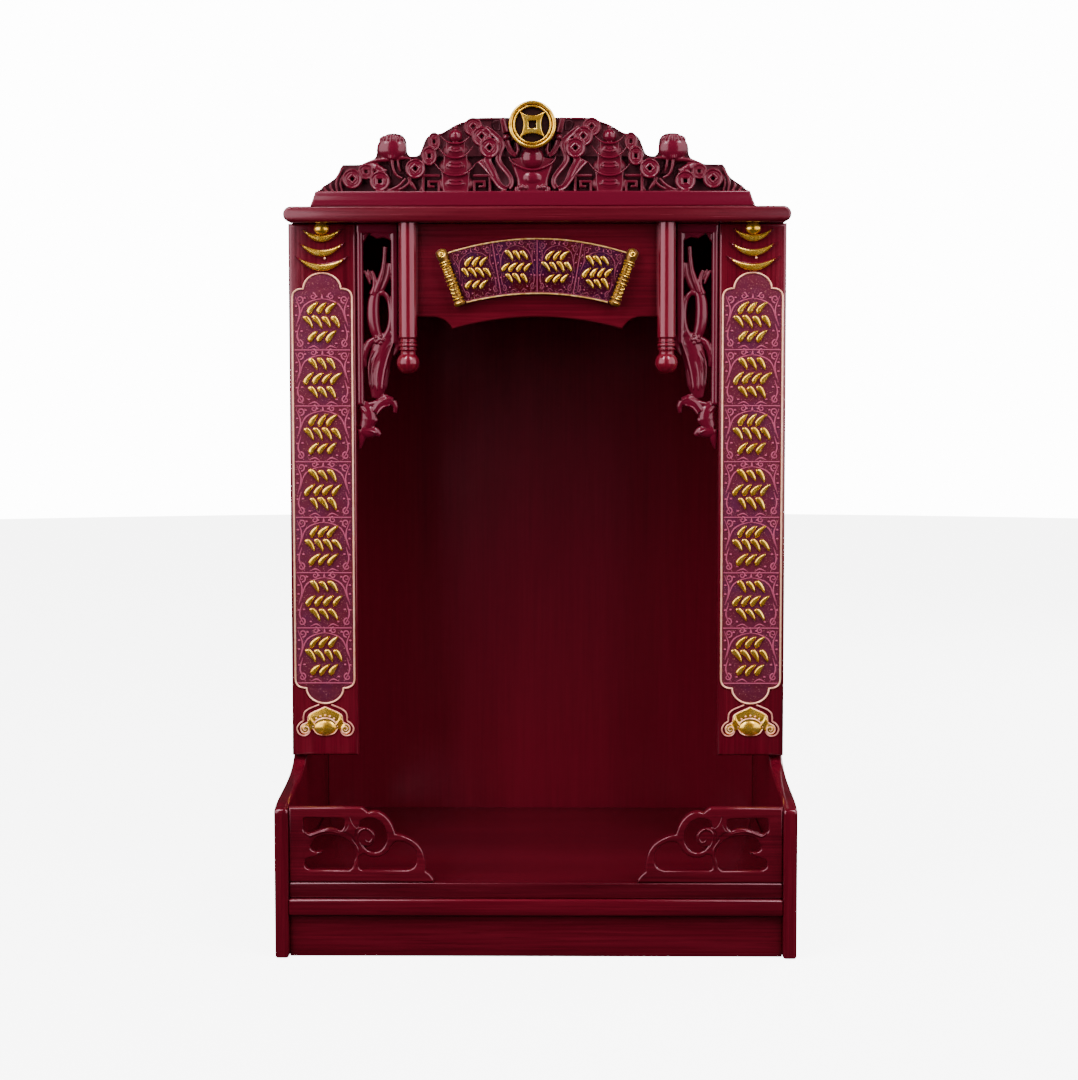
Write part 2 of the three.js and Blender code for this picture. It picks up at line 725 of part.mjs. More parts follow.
placePair(
  'side_fretwork', sideFretwork(),
  cabinetWidth / 2 - coupletWidth - joint, upperFrontY + sideFretSetback + sideFretThick, carcassTop,
);
place('top_board', topBoard(), 0, backY, carcassHeight);
place('crest_panel', crestPanel(), crestOffset, crestFrontY + crestThick, crestBase);
place('crest_coin', crestCoin(), crestOffset, crestFrontY - joint, crestBase + coinCentre, gilt);

export default cabinet;
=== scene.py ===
import math
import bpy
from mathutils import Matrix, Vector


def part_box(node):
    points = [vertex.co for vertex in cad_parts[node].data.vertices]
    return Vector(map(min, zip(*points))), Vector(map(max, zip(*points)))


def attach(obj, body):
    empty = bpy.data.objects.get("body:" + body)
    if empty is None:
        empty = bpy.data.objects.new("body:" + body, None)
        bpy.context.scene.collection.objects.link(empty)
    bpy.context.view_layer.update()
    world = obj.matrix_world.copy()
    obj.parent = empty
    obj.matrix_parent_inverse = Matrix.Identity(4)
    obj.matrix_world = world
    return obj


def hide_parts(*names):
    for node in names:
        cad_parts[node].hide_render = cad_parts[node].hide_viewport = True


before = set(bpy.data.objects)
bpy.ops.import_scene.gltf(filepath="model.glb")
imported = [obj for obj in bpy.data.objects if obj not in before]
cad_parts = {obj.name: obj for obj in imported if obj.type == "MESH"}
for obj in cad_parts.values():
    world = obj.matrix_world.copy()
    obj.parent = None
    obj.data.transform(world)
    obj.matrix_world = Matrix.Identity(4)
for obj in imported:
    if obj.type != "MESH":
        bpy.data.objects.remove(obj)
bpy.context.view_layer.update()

from types import SimpleNamespace

import bpy
from mathutils import Matrix, Vector

mm = 0.001


# Camera and light

# Places are in metres and turns in degrees
view = {"x": 0.02994, "y": -2.3221, "z": 0.55217, "turn": 0.709, "tilt": 4.454, "roll": 0.0446, "lens": 78.6}
# Two tall panels stand beside the camera, two strips hang above and one panel lights the back.
# Each is (place, width, height, power)
studio = {
    "panels": [((-1.58, -1.30, 1.45), 2.38, 2.3, 84), ((1.65, -1.02, 1.45), 2.77, 2.3, 74)],
    "strips": [((-0.75, -1.1, 2.1), 0.5, 0.9, 27), ((0.8, -1.1, 2.1), 0.5, 0.9, 25)],
    "rear": ((1.9, 1.6, 1.3), 1.4, 1.6, 60), "fill": 0.03, "backdrop": 14.0, "floorGlow": 6.5,
}


def addCamera():
    data = bpy.data.cameras.new("camera")
    data.lens = view["lens"]
    data.sensor_width = 36
    data.clip_end = 50
    camera = bpy.data.objects.new("camera", data)
    bpy.context.collection.objects.link(camera)
    camera.location = (view["x"], view["y"], view["z"])
    tilt = math.radians(90 - view["tilt"])
    camera.rotation_euler = (tilt, math.radians(view["roll"]), math.radians(view["turn"]))
    bpy.context.scene.camera = camera


def addSoftbox(name, place, target, width, height, power):
    data = bpy.data.lights.new(name, "AREA")
    data.shape = "RECTANGLE"
    data.size = width
    data.size_y = height
    data.energy = power
    lamp = bpy.data.objects.new(name, data)
    bpy.context.collection.objects.link(lamp)
    lamp.location = place
    lamp.rotation_euler = (Vector(target) - Vector(place)).to_track_quat("-Z", "Y").to_euler()


addCamera()
for place, width, height, power in studio["panels"]:
    addSoftbox("panel_light", place, (0, 0, place[2]), width, height, power)
for place, width, height, power in studio["strips"]:
    addSoftbox("strip_light", place, (0, 0, 0.4), width, height, power)
addSoftbox("rear_light", studio["rear"][0], (0, 0, 0.5), *studio["rear"][1:])
print("camera and lights")


# Shader wiring

class Wire:
    def __init__(self, finish, socket):
        self.finish = finish
        self.socket = socket

    def math(self, operation, first, second, clamp=False):
        settings = {"operation": operation, "use_clamp": clamp}
        return self.finish.node("ShaderNodeMath", settings, {0: first, 1: second})

    def __add__(self, other):
        return self.math("ADD", self, other)

    def __sub__(self, other):
        return self.math("SUBTRACT", self, other)

    def __rsub__(self, other):
        return self.math("SUBTRACT", other, self)

    def __mul__(self, other):
        return self.math("MULTIPLY", self, other)

    __radd__ = __add__
    __rmul__ = __mul__

    def clamped(self):
        return self.math("MULTIPLY", self, 1.0, clamp=True)


class Finish:
    def __init__(self, name):
        self.material = bpy.data.materials.new(name)
        self.material.use_nodes = True
        self.tree = self.material.node_tree
        self.shader = self.tree.nodes["Principled BSDF"]
        self.place = self.node("ShaderNodeTexCoord", {}, {}, "Object")

    def node(self, kind, settings, sockets, output=0):
        made = self.tree.nodes.new(kind)
        for key, value in settings.items():
            if key == "stops":
                self.fillRamp(made.color_ramp, value)
            else:
                setattr(made, key, value)
        for key, value in sockets.items():
            self.feed(made.inputs[key], value)
        return Wire(self, made.outputs[output])

    def feed(self, socket, value):
        if isinstance(value, Wire):
            self.tree.links.new(value.socket, socket)
        else:
            socket.default_value = value

    def fillRamp(self, ramp, stops):
        while len(ramp.elements) < len(stops):
            ramp.elements.new(0.5)
        for element, (position, colour) in zip(ramp.elements, stops):
            element.position = position
            element.color = (*colour, 1)

    def surface(self, **sockets):
        for key, value in sockets.items():
            self.feed(self.shader.inputs[key.replace("_", " ")], value)
        return self.material

    def scaled(self, scale):
        return self.node("ShaderNodeMapping", {}, {"Vector": self.place, "Scale": scale})

    def noise(self, vector, scale, detail=3.0, roughness=0.55, distortion=0.0):
        return self.node("ShaderNodeTexNoise", {}, {
            "Vector": vector, "Scale": scale, "Detail": detail, "Roughness": roughness,
            "Distortion": distortion,
        })

    def ramp(self, factor, stops):
        return self.node("ShaderNodeValToRGB", {"stops": stops}, {"Fac": factor})

    def range(self, value, low, high, newLow=0.0, newHigh=1.0):
        return self.node("ShaderNodeMapRange", {"clamp": True}, {
            "Value": value, "From Min": low, "From Max": high, "To Min": newLow, "To Max": newHigh,
        })

    def mix(self, factor, first, second, blend="MIX"):
        settings = {"data_type": "RGBA", "blend_type": blend}
        return self.node("ShaderNodeMix", settings, {0: factor, 6: first, 7: second}, 2)

    def axis(self, name):
        return self.node("ShaderNodeSeparateXYZ", {}, {0: self.place}, name)

    def bump(self, height, strength, distance):
        return self.node("ShaderNodeBump", {}, {"Height": height, "Strength": strength, "Distance": distance})


wood = {
    "dark": (0.044, 0.0012, 0.0046), "body": (0.078, 0.0024, 0.0080), "light": (0.116, 0.0046, 0.0130),
    "pore": (0.022, 0.0006, 0.0018), "coat": 0.2, "sheen": (1.0, 0.42, 0.54, 1), "shine": 0.66,
}


def grainScale(direction, across, length):
    scale = [across, across, across]
    scale["XYZ".index(direction)] = length
    return tuple(scale)


# Lacquered rosewood with its grain along one axis. Its colour scale makes lighter and darker copies of the
# wood: painted light and painted shade
def rosewood(name, direction, paintedLightScale=1.0, roughness=0.13, coatRoughness=0.06, figure=1.0):
    finish = Finish(name)
    broad = finish.noise(finish.scaled(grainScale(direction, 22, 1.6)), 1.0, 3, 0.5, 0.6)
    fibre = finish.noise(finish.scaled(grainScale(direction, 420, 9)), 1.0, 3, 0.6)
    pores = finish.noise(finish.scaled(grainScale(direction, 900, 26)), 1.0, 2, 0.5)
    tone = (0.5 * broad + 0.5 * fibre).clamped()
    stops = []
    for stop, key in zip((0.34, 0.5, 0.68), ("dark", "body", "light")):
        pairs = zip(wood[key], wood["body"])
        shade = [paintedLightScale * (middle + figure * (channel - middle)) for channel, middle in pairs]
        stops.append((stop, tuple(shade)))
    colour = finish.ramp(tone, stops)
    poreMask = finish.range(pores, 0.62, 0.72)
    colour = finish.mix(0.4 * figure * poreMask, colour, (*wood["pore"], 1))
    gloss = finish.range(fibre, 0.3, 0.7, roughness - 0.03 * figure, roughness + 0.06 * figure)
    relief = 0.5 * poreMask + 0.25 * fibre
    return finish.surface(
        Base_Color=colour, Roughness=gloss, Coat_Weight=wood["coat"], Coat_Roughness=coatRoughness,
        Specular_Tint=wood["sheen"], Specular_IOR_Level=wood["shine"],
        Normal=finish.bump(relief, 0.06 * figure, 0.0003),
    )


# Carved rosewood's colours from its ground to its proudest parts. The darkest, in the ground, is painted
# shade
carving = {"low": (0.015, 0.0003, 0.0016), "high": (0.080, 0.0024, 0.0110), "proudest": (0.094, 0.0030, 0.0140)}


# Carved rosewood, painted darker towards the ground as painted shade in its recesses, and a little lighter on
# its proudest parts. Depths are of the Y axis, from the ground to the top
def carvedRosewood(name, groundY, topY, low=None):
    finish = Finish(name)
    depth = finish.range(finish.axis("Y"), groundY, topY)
    cloud = finish.noise(finish.scaled((60, 60, 60)), 1.0, 3, 0.5)
    fibre = finish.noise(finish.scaled((12, 500, 500)), 1.0, 3, 0.6)
    level = (depth + 0.3 * (cloud - 0.5)).clamped()
    colour = finish.ramp(level, [
        (0.0, low or carving["low"]), (0.45, carving["high"]), (1.0, carving["proudest"]),
    ])
    colour = finish.mix(0.35 * fibre, colour, (*wood["dark"], 1))
    gloss = finish.range(level, 0, 1, 0.5, 0.2)
    return finish.surface(
        Base_Color=colour, Roughness=gloss, Coat_Roughness=0.1,
        Coat_Weight=finish.range(level, 0.2, 0.8, 0.0, 0.35), Specular_Tint=wood["sheen"],
        Specular_IOR_Level=0.36, Normal=finish.bump(fibre, 0.08, 0.0002),
    )


gold = {"deep": (0.30, 0.12, 0.006), "body": (0.80, 0.42, 0.035), "bright": (1.0, 0.70, 0.16)}


def giltFinish(name, deep, body, bright, metallic=0.88, roughness=0.22):
    finish = Finish(name)
    patches = finish.noise(finish.scaled((230, 230, 230)), 1.0, 4, 0.6, 0.4)
    grain = finish.noise(finish.scaled((1300, 1300, 1300)), 1.0, 2, 0.5)
    colour = finish.ramp(patches, [(0.2, deep), (0.48, body), (0.74, bright)])
    gloss = finish.range(patches, 0.3, 0.75, roughness + 0.08, roughness - 0.03)
    return finish.surface(
        Base_Color=colour, Metallic=metallic, Roughness=gloss,
        Normal=finish.bump(0.4 * patches + 0.6 * grain, 0.04, 0.0003),
    )


# The lustre paint inside the mouldings. The lines that stand up are painted lighter, as a painted highlight,
# and fine specks are painted pale as glints
def lustreFinish(name, groundY, topY):
    finish = Finish(name)
    height = finish.range(finish.axis("Y"), groundY, topY)
    cloud = finish.noise(finish.scaled((34, 34, 34)), 1.0, 3, 0.6, 0.5)
    speck = finish.noise(finish.scaled((900, 900, 900)), 1.0, 2, 0.6)
    ground = finish.ramp(cloud, [
        (0.34, (0.036, 0.0006, 0.003)), (0.52, (0.030, 0.0009, 0.008)), (0.7, (0.022, 0.0014, 0.018)),
    ])
    paintedGlint = finish.range(speck, 0.62, 0.7)
    # The raised lines are painted lighter as a painted highlight, and the specks pale as painted glints
    colour = finish.mix(0.8 * height, ground, (0.44, 0.076, 0.15, 1))
    colour = finish.mix(0.4 * paintedGlint, colour, (0.6, 0.22, 0.20, 1))
    return finish.surface(
        Base_Color=colour, Roughness=finish.range(speck, 0.3, 0.7, 0.3, 0.5), Specular_Tint=wood["sheen"],
        Specular_IOR_Level=0.1, Normal=finish.bump(speck, 0.25, 0.0003),
    )


uprightWood = rosewood("rosewood_upright_grain", "Z")
levelWood = rosewood("rosewood_level_grain", "X")
# The cornice's and the floor's copies are painted darker, as painted shade, and the back panel's lighter, as
# painted light
corniceWood = rosewood("rosewood_cornice", "X", 0.8, 0.22)
innerWood = rosewood("rosewood_back_panel", "Z", 1.5, 0.24, 0.16, 0.25)
floorWood = rosewood("rosewood_floor", "X", 0.72, 0.2)
giltGold = giltFinish("gilt", **gold)
creamGilt = giltFinish("cream_gilt", (0.80, 0.30, 0.18), (0.98, 0.44, 0.29), (1.0, 0.60, 0.42), 0.45, 0.3)
roseGilt = giltFinish("rose_gilt", (0.42, 0.12, 0.09), (0.62, 0.22, 0.17), (0.8, 0.36, 0.27), 0.2, 0.3)
# Dark gilt: the rollers' darker tone, and painted shade between their petals and in the coin's groove
deepGilt = giltFinish("deep_gilt", (0.05, 0.016, 0.002), (0.16, 0.065, 0.008), (0.34, 0.16, 0.025), 0.7, 0.3)
print("finishes")


# Modelling helpers. Outlines are drawn in mm as (across, up). Depths run forward from a back plane

def pick(*things):
    bpy.ops.object.select_all(action="DESELECT")
    for thing in things:
        thing.select_set(True)
    bpy.context.view_layer.objects.active = things[0]


def editAll(*steps):
    bpy.ops.object.mode_set(mode="EDIT")
    bpy.ops.mesh.select_all(action="SELECT")
    for step in steps:
        step()
    bpy.ops.object.mode_set(mode="OBJECT")


def mergeDoubles():
    bpy.ops.mesh.remove_doubles(threshold=2e-6)


def faceOutwards():
    bpy.ops.mesh.normals_make_consistent(inside=False)


def meshOf(data):
    piece = bpy.data.objects.new(data.name, data)
    bpy.context.collection.objects.link(piece)
    pick(piece)
    bpy.ops.object.convert(target="MESH")
    piece = bpy.context.object
    editAll(mergeDoubles, faceOutwards)
    return piece


def applied(piece, kind, **settings):
    pick(piece)
    modifier = piece.modifiers.new(kind.lower(), kind)
    for key, value in settings.items():
        setattr(modifier, key, value)
    bpy.ops.object.modifier_apply(modifier=modifier.name)
    return piece


# A smooth line through all its points
def smoothLine(points, steps=6):
    if len(points) < 3:
        return [tuple(point) for point in points]
    first = tuple(2 * a - b for a, b in zip(points[0], points[1]))
    last = tuple(2 * a - b for a, b in zip(points[-1], points[-2]))
    chain = [first, *points, last]
    line = []
    for i in range(1, len(chain) - 2):
        before, start, end, after = chain[i - 1:i + 3]
        for step in range(steps):
            t = step / steps
            line.append(tuple(
                0.5 * (2 * s + (e - b) * t + (2 * b - 5 * s + 4 * e - a) * t ** 2
                       + (3 * s - 3 * e + a - b) * t ** 3)
                for b, s, e, a in zip(before, start, end, after)
            ))
    line.append(tuple(points[-1]))
    return line


# Values spread evenly over a count, with straight steps between them
def spread(values, count):
    spreadOut = []
    for i in range(count):
        place = i / (count - 1) * (len(values) - 1)
        low = min(int(place), len(values) - 2)
        spreadOut.append(values[low] + (values[low + 1] - values[low]) * (place - low))
    return spreadOut


# A flat plate with rounded arrises. The first outline is its edge and the others are its openings
def slab(outlines, back, front, bevel=0.5, bevelSteps=2):
    data = bpy.data.curves.new("slab", "CURVE")
    data.dimensions = "2D"
    data.fill_mode = "BOTH"
    data.extrude = ((front - back) / 2 - bevel) * mm
    data.bevel_depth = bevel * mm
    data.bevel_resolution = bevelSteps
    data.offset = -bevel * mm
    for outline in outlines:
        spline = data.splines.new("POLY")
        spline.points.add(len(outline) - 1)
        for point, (x, z) in zip(spline.points, outline):
            point.co = (x * mm, z * mm, 0, 1)
        spline.use_cyclic_u = True
    piece = meshOf(data)
    turn = Matrix.Rotation(math.pi / 2, 4, "X")
    piece.data.transform(Matrix.Translation((0, -(back + front) / 2 * mm, 0)) @ turn)
    return piece


# Round strands along smooth lines, each a (points, widths) pair, flattened front to back
def strands(lines, centre, flat=1.0, roundness=3, steps=6):
    data = bpy.data.curves.new("strands", "CURVE")
    data.dimensions = "3D"
    data.bevel_depth = mm
    data.bevel_resolution = roundness
    data.use_fill_caps = True
    for points, widths in lines:
        path = smoothLine(points, steps)
        spline = data.splines.new("POLY")
        spline.points.add(len(path) - 1)
        for point, (x, z), width in zip(spline.points, path, spread(widths, len(path))):
            point.co = (x * mm, 0, z * mm, 1)
            point.radius = width / 2
    piece = meshOf(data)
    piece.data.transform(Matrix.Translation((0, -centre * mm, 0)) @ Matrix.Diagonal((1, flat, 1, 1)))
    return piece


# A thin round bead through (across, forward, up) points
def bead(path, width, roundness=1, closed=False):
    data = bpy.data.curves.new("bead", "CURVE")
    data.dimensions = "3D"
    data.bevel_depth = width / 2 * mm
    data.bevel_resolution = roundness
    data.use_fill_caps = not closed
    spline = data.splines.new("POLY")
    spline.points.add(len(path) - 1)
    for point, (x, forward, z) in zip(spline.points, path):
        point.co = (x * mm, -forward * mm, z * mm, 1)
    spline.use_cyclic_u = closed
    return meshOf(data)


def dome(x, z, halfWidth, halfHeight, centre, reach, segments=24):
    pick(bpy.context.scene.camera)
    bpy.ops.mesh.primitive_uv_sphere_add(segments=segments, ring_count=segments // 2, radius=mm)
    piece = bpy.context.object
    piece.data.transform(Matrix.Diagonal((halfWidth, reach, halfHeight, 1)))
    piece.data.transform(Matrix.Translation((x * mm, -centre * mm, z * mm)))
    return piece


def hoop(x, z, radius, width, centre, lean=1.0, sides=(28, 8)):
    pick(bpy.context.scene.camera)
    bpy.ops.mesh.primitive_torus_add(
        major_segments=sides[0], minor_segments=sides[1], major_radius=radius * mm,
        minor_radius=width / 2 * mm, rotation=(math.pi / 2, 0, 0),
    )
    bpy.ops.object.transform_apply(location=False, rotation=True, scale=False)
    piece = bpy.context.object
    place = Matrix.Translation((x * mm, -centre * mm, z * mm))
    piece.data.transform(place @ Matrix.Diagonal((lean, 1, 1, 1)))
    return piece


def rectangle(left, bottom, right, top):
    return [(left, bottom), (right, bottom), (right, top), (left, top)]


def ellipse(x, z, halfWidth, halfHeight, start=0.0, end=2 * math.pi, steps=28):
    closed = end - start >= 2 * math.pi - 1e-6
    count = steps if closed else steps + 1
    angles = [start + (end - start) * i / steps for i in range(count)]
    return [(x + halfWidth * math.cos(angle), z + halfHeight * math.sin(angle)) for angle in angles]


# The point that takes a share of each given point
def weighted(shares, points):
    return tuple(sum(share * point[axis] for share, point in zip(shares, points)) for axis in (0, 1))


# A bend towards its control point, without its first point
def curveTo(start, control, end, steps=8):
    line = []
    for i in range(1, steps + 1):
        t = i / steps
        line.append(weighted(((1 - t) ** 2, 2 * t * (1 - t), t ** 2), (start, control, end)))
    return line


def turned(x, z, angle):
    return x * math.cos(angle) - z * math.sin(angle), x * math.sin(angle) + z * math.cos(angle)


def mirrorLine(line):
    return line + [(-x, z) for x, z in line[::-1] if x > 0.01]


# The outline of a tapered band along a smooth line
def bandOutline(points, widths, steps=6):
    path = smoothLine(points, steps)
    near, far = [], []
    for i, ((x, z), width) in enumerate(zip(path, spread(widths, len(path)))):
        before, after = path[max(i - 1, 0)], path[min(i + 1, len(path) - 1)]
        run = math.hypot(after[0] - before[0], after[1] - before[1]) or 1
        sideX, sideZ = -(after[1] - before[1]) / run, (after[0] - before[0]) / run
        near.append((x + sideX * width / 2, z + sideZ * width / 2))
        far.append((x - sideX * width / 2, z - sideZ * width / 2))
    return far + near[::-1]


def paint(piece, material):
    piece.data.materials.clear()
    piece.data.materials.append(material)
    return piece


def joined(parts, name):
    pick(*parts)
    if len(parts) > 1:
        bpy.ops.object.join()
    piece = bpy.context.object
    piece.name = name
    piece.data.name = name
    return piece


def copyOf(piece, name, mirror=False):
    twin = piece.copy()
    twin.data = piece.data.copy()
    twin.name = name
    bpy.context.collection.objects.link(twin)
    if mirror:
        twin.data.transform(Matrix.Diagonal((-1, 1, 1, 1)))
        pick(twin)
        editAll(faceOutwards)
    return twin


def moved(piece, x, y, z):
    piece.data.transform(Matrix.Translation((x, y, z)))
    return piece


def trianglesOf(piece):
    return sum(len(face.vertices) - 2 for face in piece.data.polygons)


# Carving run together into one skin, as it is under its lacquer
def fused(piece, voxel, rounds, faces):
    applied(piece, "REMESH", mode="VOXEL", voxel_size=voxel * mm, adaptivity=0)
    if rounds:
        applied(piece, "SMOOTH", factor=0.5, iterations=rounds)
    count = trianglesOf(piece)
    if count > faces:
        applied(piece, "DECIMATE", ratio=faces / count)
    return piece


def finished(piece, node, angle=40):
    pick(piece)
    bpy.ops.object.shade_smooth_by_angle(angle=math.radians(angle))
    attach(piece, "root")
    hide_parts(node)
    print(piece.name, trianglesOf(piece), "triangles")


# The edges of a node's box, in mm
def edgesOf(node):
    low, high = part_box(node)
    names = ("left", "front", "bottom", "right", "back", "top")
    places = (low.x, low.y, low.z, high.x, high.y, high.z)
    return SimpleNamespace(**{name: place / mm for name, place in zip(names, places)})


# Plain boards: a block at the node's place, with its arrises rounded

endGap = 0.28  # how far each end reaches, so that the joint there is closed to a hair
boards = {
    "back_panel": ("back_board", innerWood, "dark_panel", 0.3),
    "floor_board": ("floor_panel", floorWood, "rosewood_lacquer", 1.6),
    "ledge_strip": ("ledge_rail", levelWood, "rosewood_lacquer", 2.0),
    "kick_board": ("kick_rail", levelWood, "rosewood_lacquer", 1.0),
}


def plainBoard(node, name, material, slot, arris):
    low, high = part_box(node)
    reach = Vector((endGap * mm, 0, 0))
    low, high = low - reach, high + reach
    pick(bpy.context.scene.camera)
    bpy.ops.mesh.primitive_cube_add(size=1, location=(low + high) / 2, scale=high - low)
    bpy.ops.object.transform_apply(location=True, rotation=False, scale=True)
    piece = bpy.context.object
    piece.name = name
    applied(piece, "BEVEL", width=arris * mm, segments=4, limit_method="ANGLE")
    finished(paint(piece, material), node, 60)


for node, settings in boards.items():
    plainBoard(node, *settings)


# The side panels, seen from the side as (depth, up), and laid into place

# The setback is that of the couplet board, and the lap is the board's thickness and its joint
sidePanel = {
    "trayHeight": 139.5, "nose": 6, "swell": 9, "shoulder": 162.7, "setback": 150, "lap": 12.3, "arris": 2.6,
}


def addSidePanel(node, name):
    edge = edgesOf(node)
    front, back, top = edge.front, edge.back, edge.top
    shoulderY = front + sidePanel["setback"] + sidePanel["lap"]
    tray = sidePanel["trayHeight"]
    start, end = (shoulderY, sidePanel["shoulder"]), (front + sidePanel["nose"], tray)
    low = (shoulderY - sidePanel["setback"] * 0.2, tray + sidePanel["swell"] * 0.1)
    high = (front + sidePanel["setback"] * 0.25, tray + sidePanel["swell"])
    sweep = []
    for i in range(1, 33):
        t = i / 32
        shares = ((1 - t) ** 3, 3 * t * (1 - t) ** 2, 3 * t ** 2 * (1 - t), t ** 3)
        sweep.append(weighted(shares, (start, low, high, end)))
    nose = curveTo(end, (front, tray), (front, tray - sidePanel["nose"]))
    outline = [(front, 0), (back, 0), (back, top), (shoulderY, top), start, *sweep, *nose]
    piece = slab([outline], 0, edge.right - edge.left, sidePanel["arris"], 3)
    # The slab's across axis becomes depth, and its depth becomes the panel's thickness
    turn = Matrix(((0, 1, 0, 0), (1, 0, 0, 0), (0, 0, 1, 0), (0, 0, 0, 1)))
    piece.data.transform(turn)
    piece.data.transform(Matrix.Translation((edge.right * mm, 0, 0)))
    pick(piece)
    editAll(faceOutwards)
    piece.name = name
    finished(paint(piece, uprightWood), node)


addSidePanel("side_panel_left", "left_cheek")
addSidePanel("side_panel_right", "right_cheek")


# The top board has half-round ends

topBoard = {"arris": 2.4}


def addTopBoard():
    edge = edgesOf("top_board")
    radius = (edge.top - edge.bottom) / 2
    middle = edge.bottom + radius
    rightEnd = ellipse(edge.right - radius, middle, radius, radius, -math.pi / 2, math.pi / 2, 16)
    leftEnd = ellipse(edge.left + radius, middle, radius, radius, math.pi / 2, 1.5 * math.pi, 16)
    piece = slab([rightEnd + leftEnd], -edge.back, -edge.front, topBoard["arris"], 3)
    piece.name = "cornice"
    finished(paint(piece, corniceWood), "top_board")


addTopBoard()
print("boards")


# Header board with its cusped lower edge

header = {"cuspDrop": 11.5, "cuspReach": 82, "cuspShoulder": 102, "cuspCurve": 6, "arris": 1.8}


def addHeader():
    edge = edgesOf("header_board")
    bottom = edge.bottom
    base = bottom + header["cuspDrop"]
    reach, shoulder = header["cuspReach"], header["cuspShoulder"]
    rightHalf = [(0, base)]
    rightHalf += curveTo((0, base), (reach / 2, base), (reach, bottom), 12)
    rightHalf += curveTo((reach, bottom), (reach + header["cuspCurve"], base), (shoulder, base), 8)
    rightHalf += [(edge.right, base), (edge.right, edge.top)]
    piece = slab([mirrorLine(rightHalf)], -edge.back, -edge.front, header["arris"], 3)
    piece.name = "lintel"
    finished(paint(piece, levelWood), "header_board")


addHeader()


# Rows of short dabs that stand in a cell as writing does, but spell nothing

# The size and what is raised are in mm, the turn is in radians, and the rest are shares of the size
stroke = {
    "size": 41, "rows": (3, 4, 3), "pitch": 0.215, "length": 0.37, "width": 0.135, "turn": 0.92,
    "proud": 2.6, "arris": 1.6,
}


# A repeatable number from 0 to 1 for each place, so that the strokes differ
def vary(index):
    wave = math.sin(index * 12.9898 + 4.1) * 43758.5453
    return wave - math.floor(wave)


# A tapered dab, turned about its middle
def dabOutline(x, z, length, width, turn):
    line = []
    for a, b in ((-0.5, -0.06), (-0.2, 0.05), (0.2, 0.03), (0.5, -0.05)):
        across, up = turned(a * length, b * length, turn)
        line.append((x + across, z + up))
    return bandOutline(line, [width * share for share in (0.3, 1.0, 0.95, 0.75, 0.5, 0.15)], 5)


# The dabs of a row lean one way and those of the next row the other way. None meets another
def strokeCluster(x, z, size, seed, ground, proud):
    parts = []
    rows = stroke["rows"]
    for row, count in enumerate(rows):
        height = z + size * ((row + 0.5) / len(rows) - 0.5)
        hand = 1 if (row + seed) % 2 == 0 else -1
        for place in range(count):
            spot = seed * 3 + row * 5 + place
            turn = hand * stroke["turn"] * (0.88 + 0.22 * vary(spot))
            length = size * stroke["length"] * (0.86 + 0.2 * vary(spot + 0.4))
            width = size * stroke["width"] * (0.9 + 0.2 * vary(spot + 0.7))
            centre = x + size * stroke["pitch"] * (place - (count - 1) / 2)
            outline = dabOutline(centre, height, length, width, turn)
            arris = min(stroke["arris"], width * 0.32)
            parts.append(paint(slab([outline], ground - 1, ground + proud, arris, 2), giltGold))
    return parts


# Couplet boards

couplet = {
    "thick": 12, "margin": 2.7, "topGap": 46.5, "bottomGap": 50.5, "lobe": 19, "rise": 15, "shoulder": 9,
    "mould": 1.9, "mouldProud": 1.5, "cells": 7, "pitch": 54, "arris": 3.1, "lineWidth": 1.8,
}


# The moulding's line, a tall field with a lobe at each end
def cartouche(inset, width, height):
    half = width / 2 - couplet["margin"] - inset
    lobe = couplet["lobe"] - inset
    rise, shoulder = couplet["rise"], couplet["shoulder"]
    topNotch = height - couplet["topGap"] - inset - rise
    bottomNotch = couplet["bottomGap"] + inset + rise
    line = [(half, bottomNotch + shoulder), (half, topNotch - shoulder)]
    line += curveTo((half, topNotch - shoulder), (half, topNotch), (lobe, topNotch))
    line += ellipse(0, topNotch, lobe, rise, 0, math.pi, 20)[1:]
    line += curveTo((-lobe, topNotch), (-half, topNotch), (-half, topNotch - shoulder))
    line += [(-half, bottomNotch + shoulder)]
    line += curveTo((-half, bottomNotch + shoulder), (-half, bottomNotch), (-lobe, bottomNotch))
    line += ellipse(0, bottomNotch, lobe, rise, math.pi, 2 * math.pi, 20)[1:]
    line += curveTo((lobe, bottomNotch), (half, bottomNotch), (half, bottomNotch + shoulder))[:-1]
    return line


def spiral(x, z, radius, turns, start, hand=1, steps=14):
    points = []
    for i in range(steps + 1):
        t = i / steps
        angle = start + hand * turns * 2 * math.pi * t
        reach = radius * (1 - 0.85 * t)
        points.append((x + reach * math.cos(angle), z + reach * math.sin(angle)))
    return points


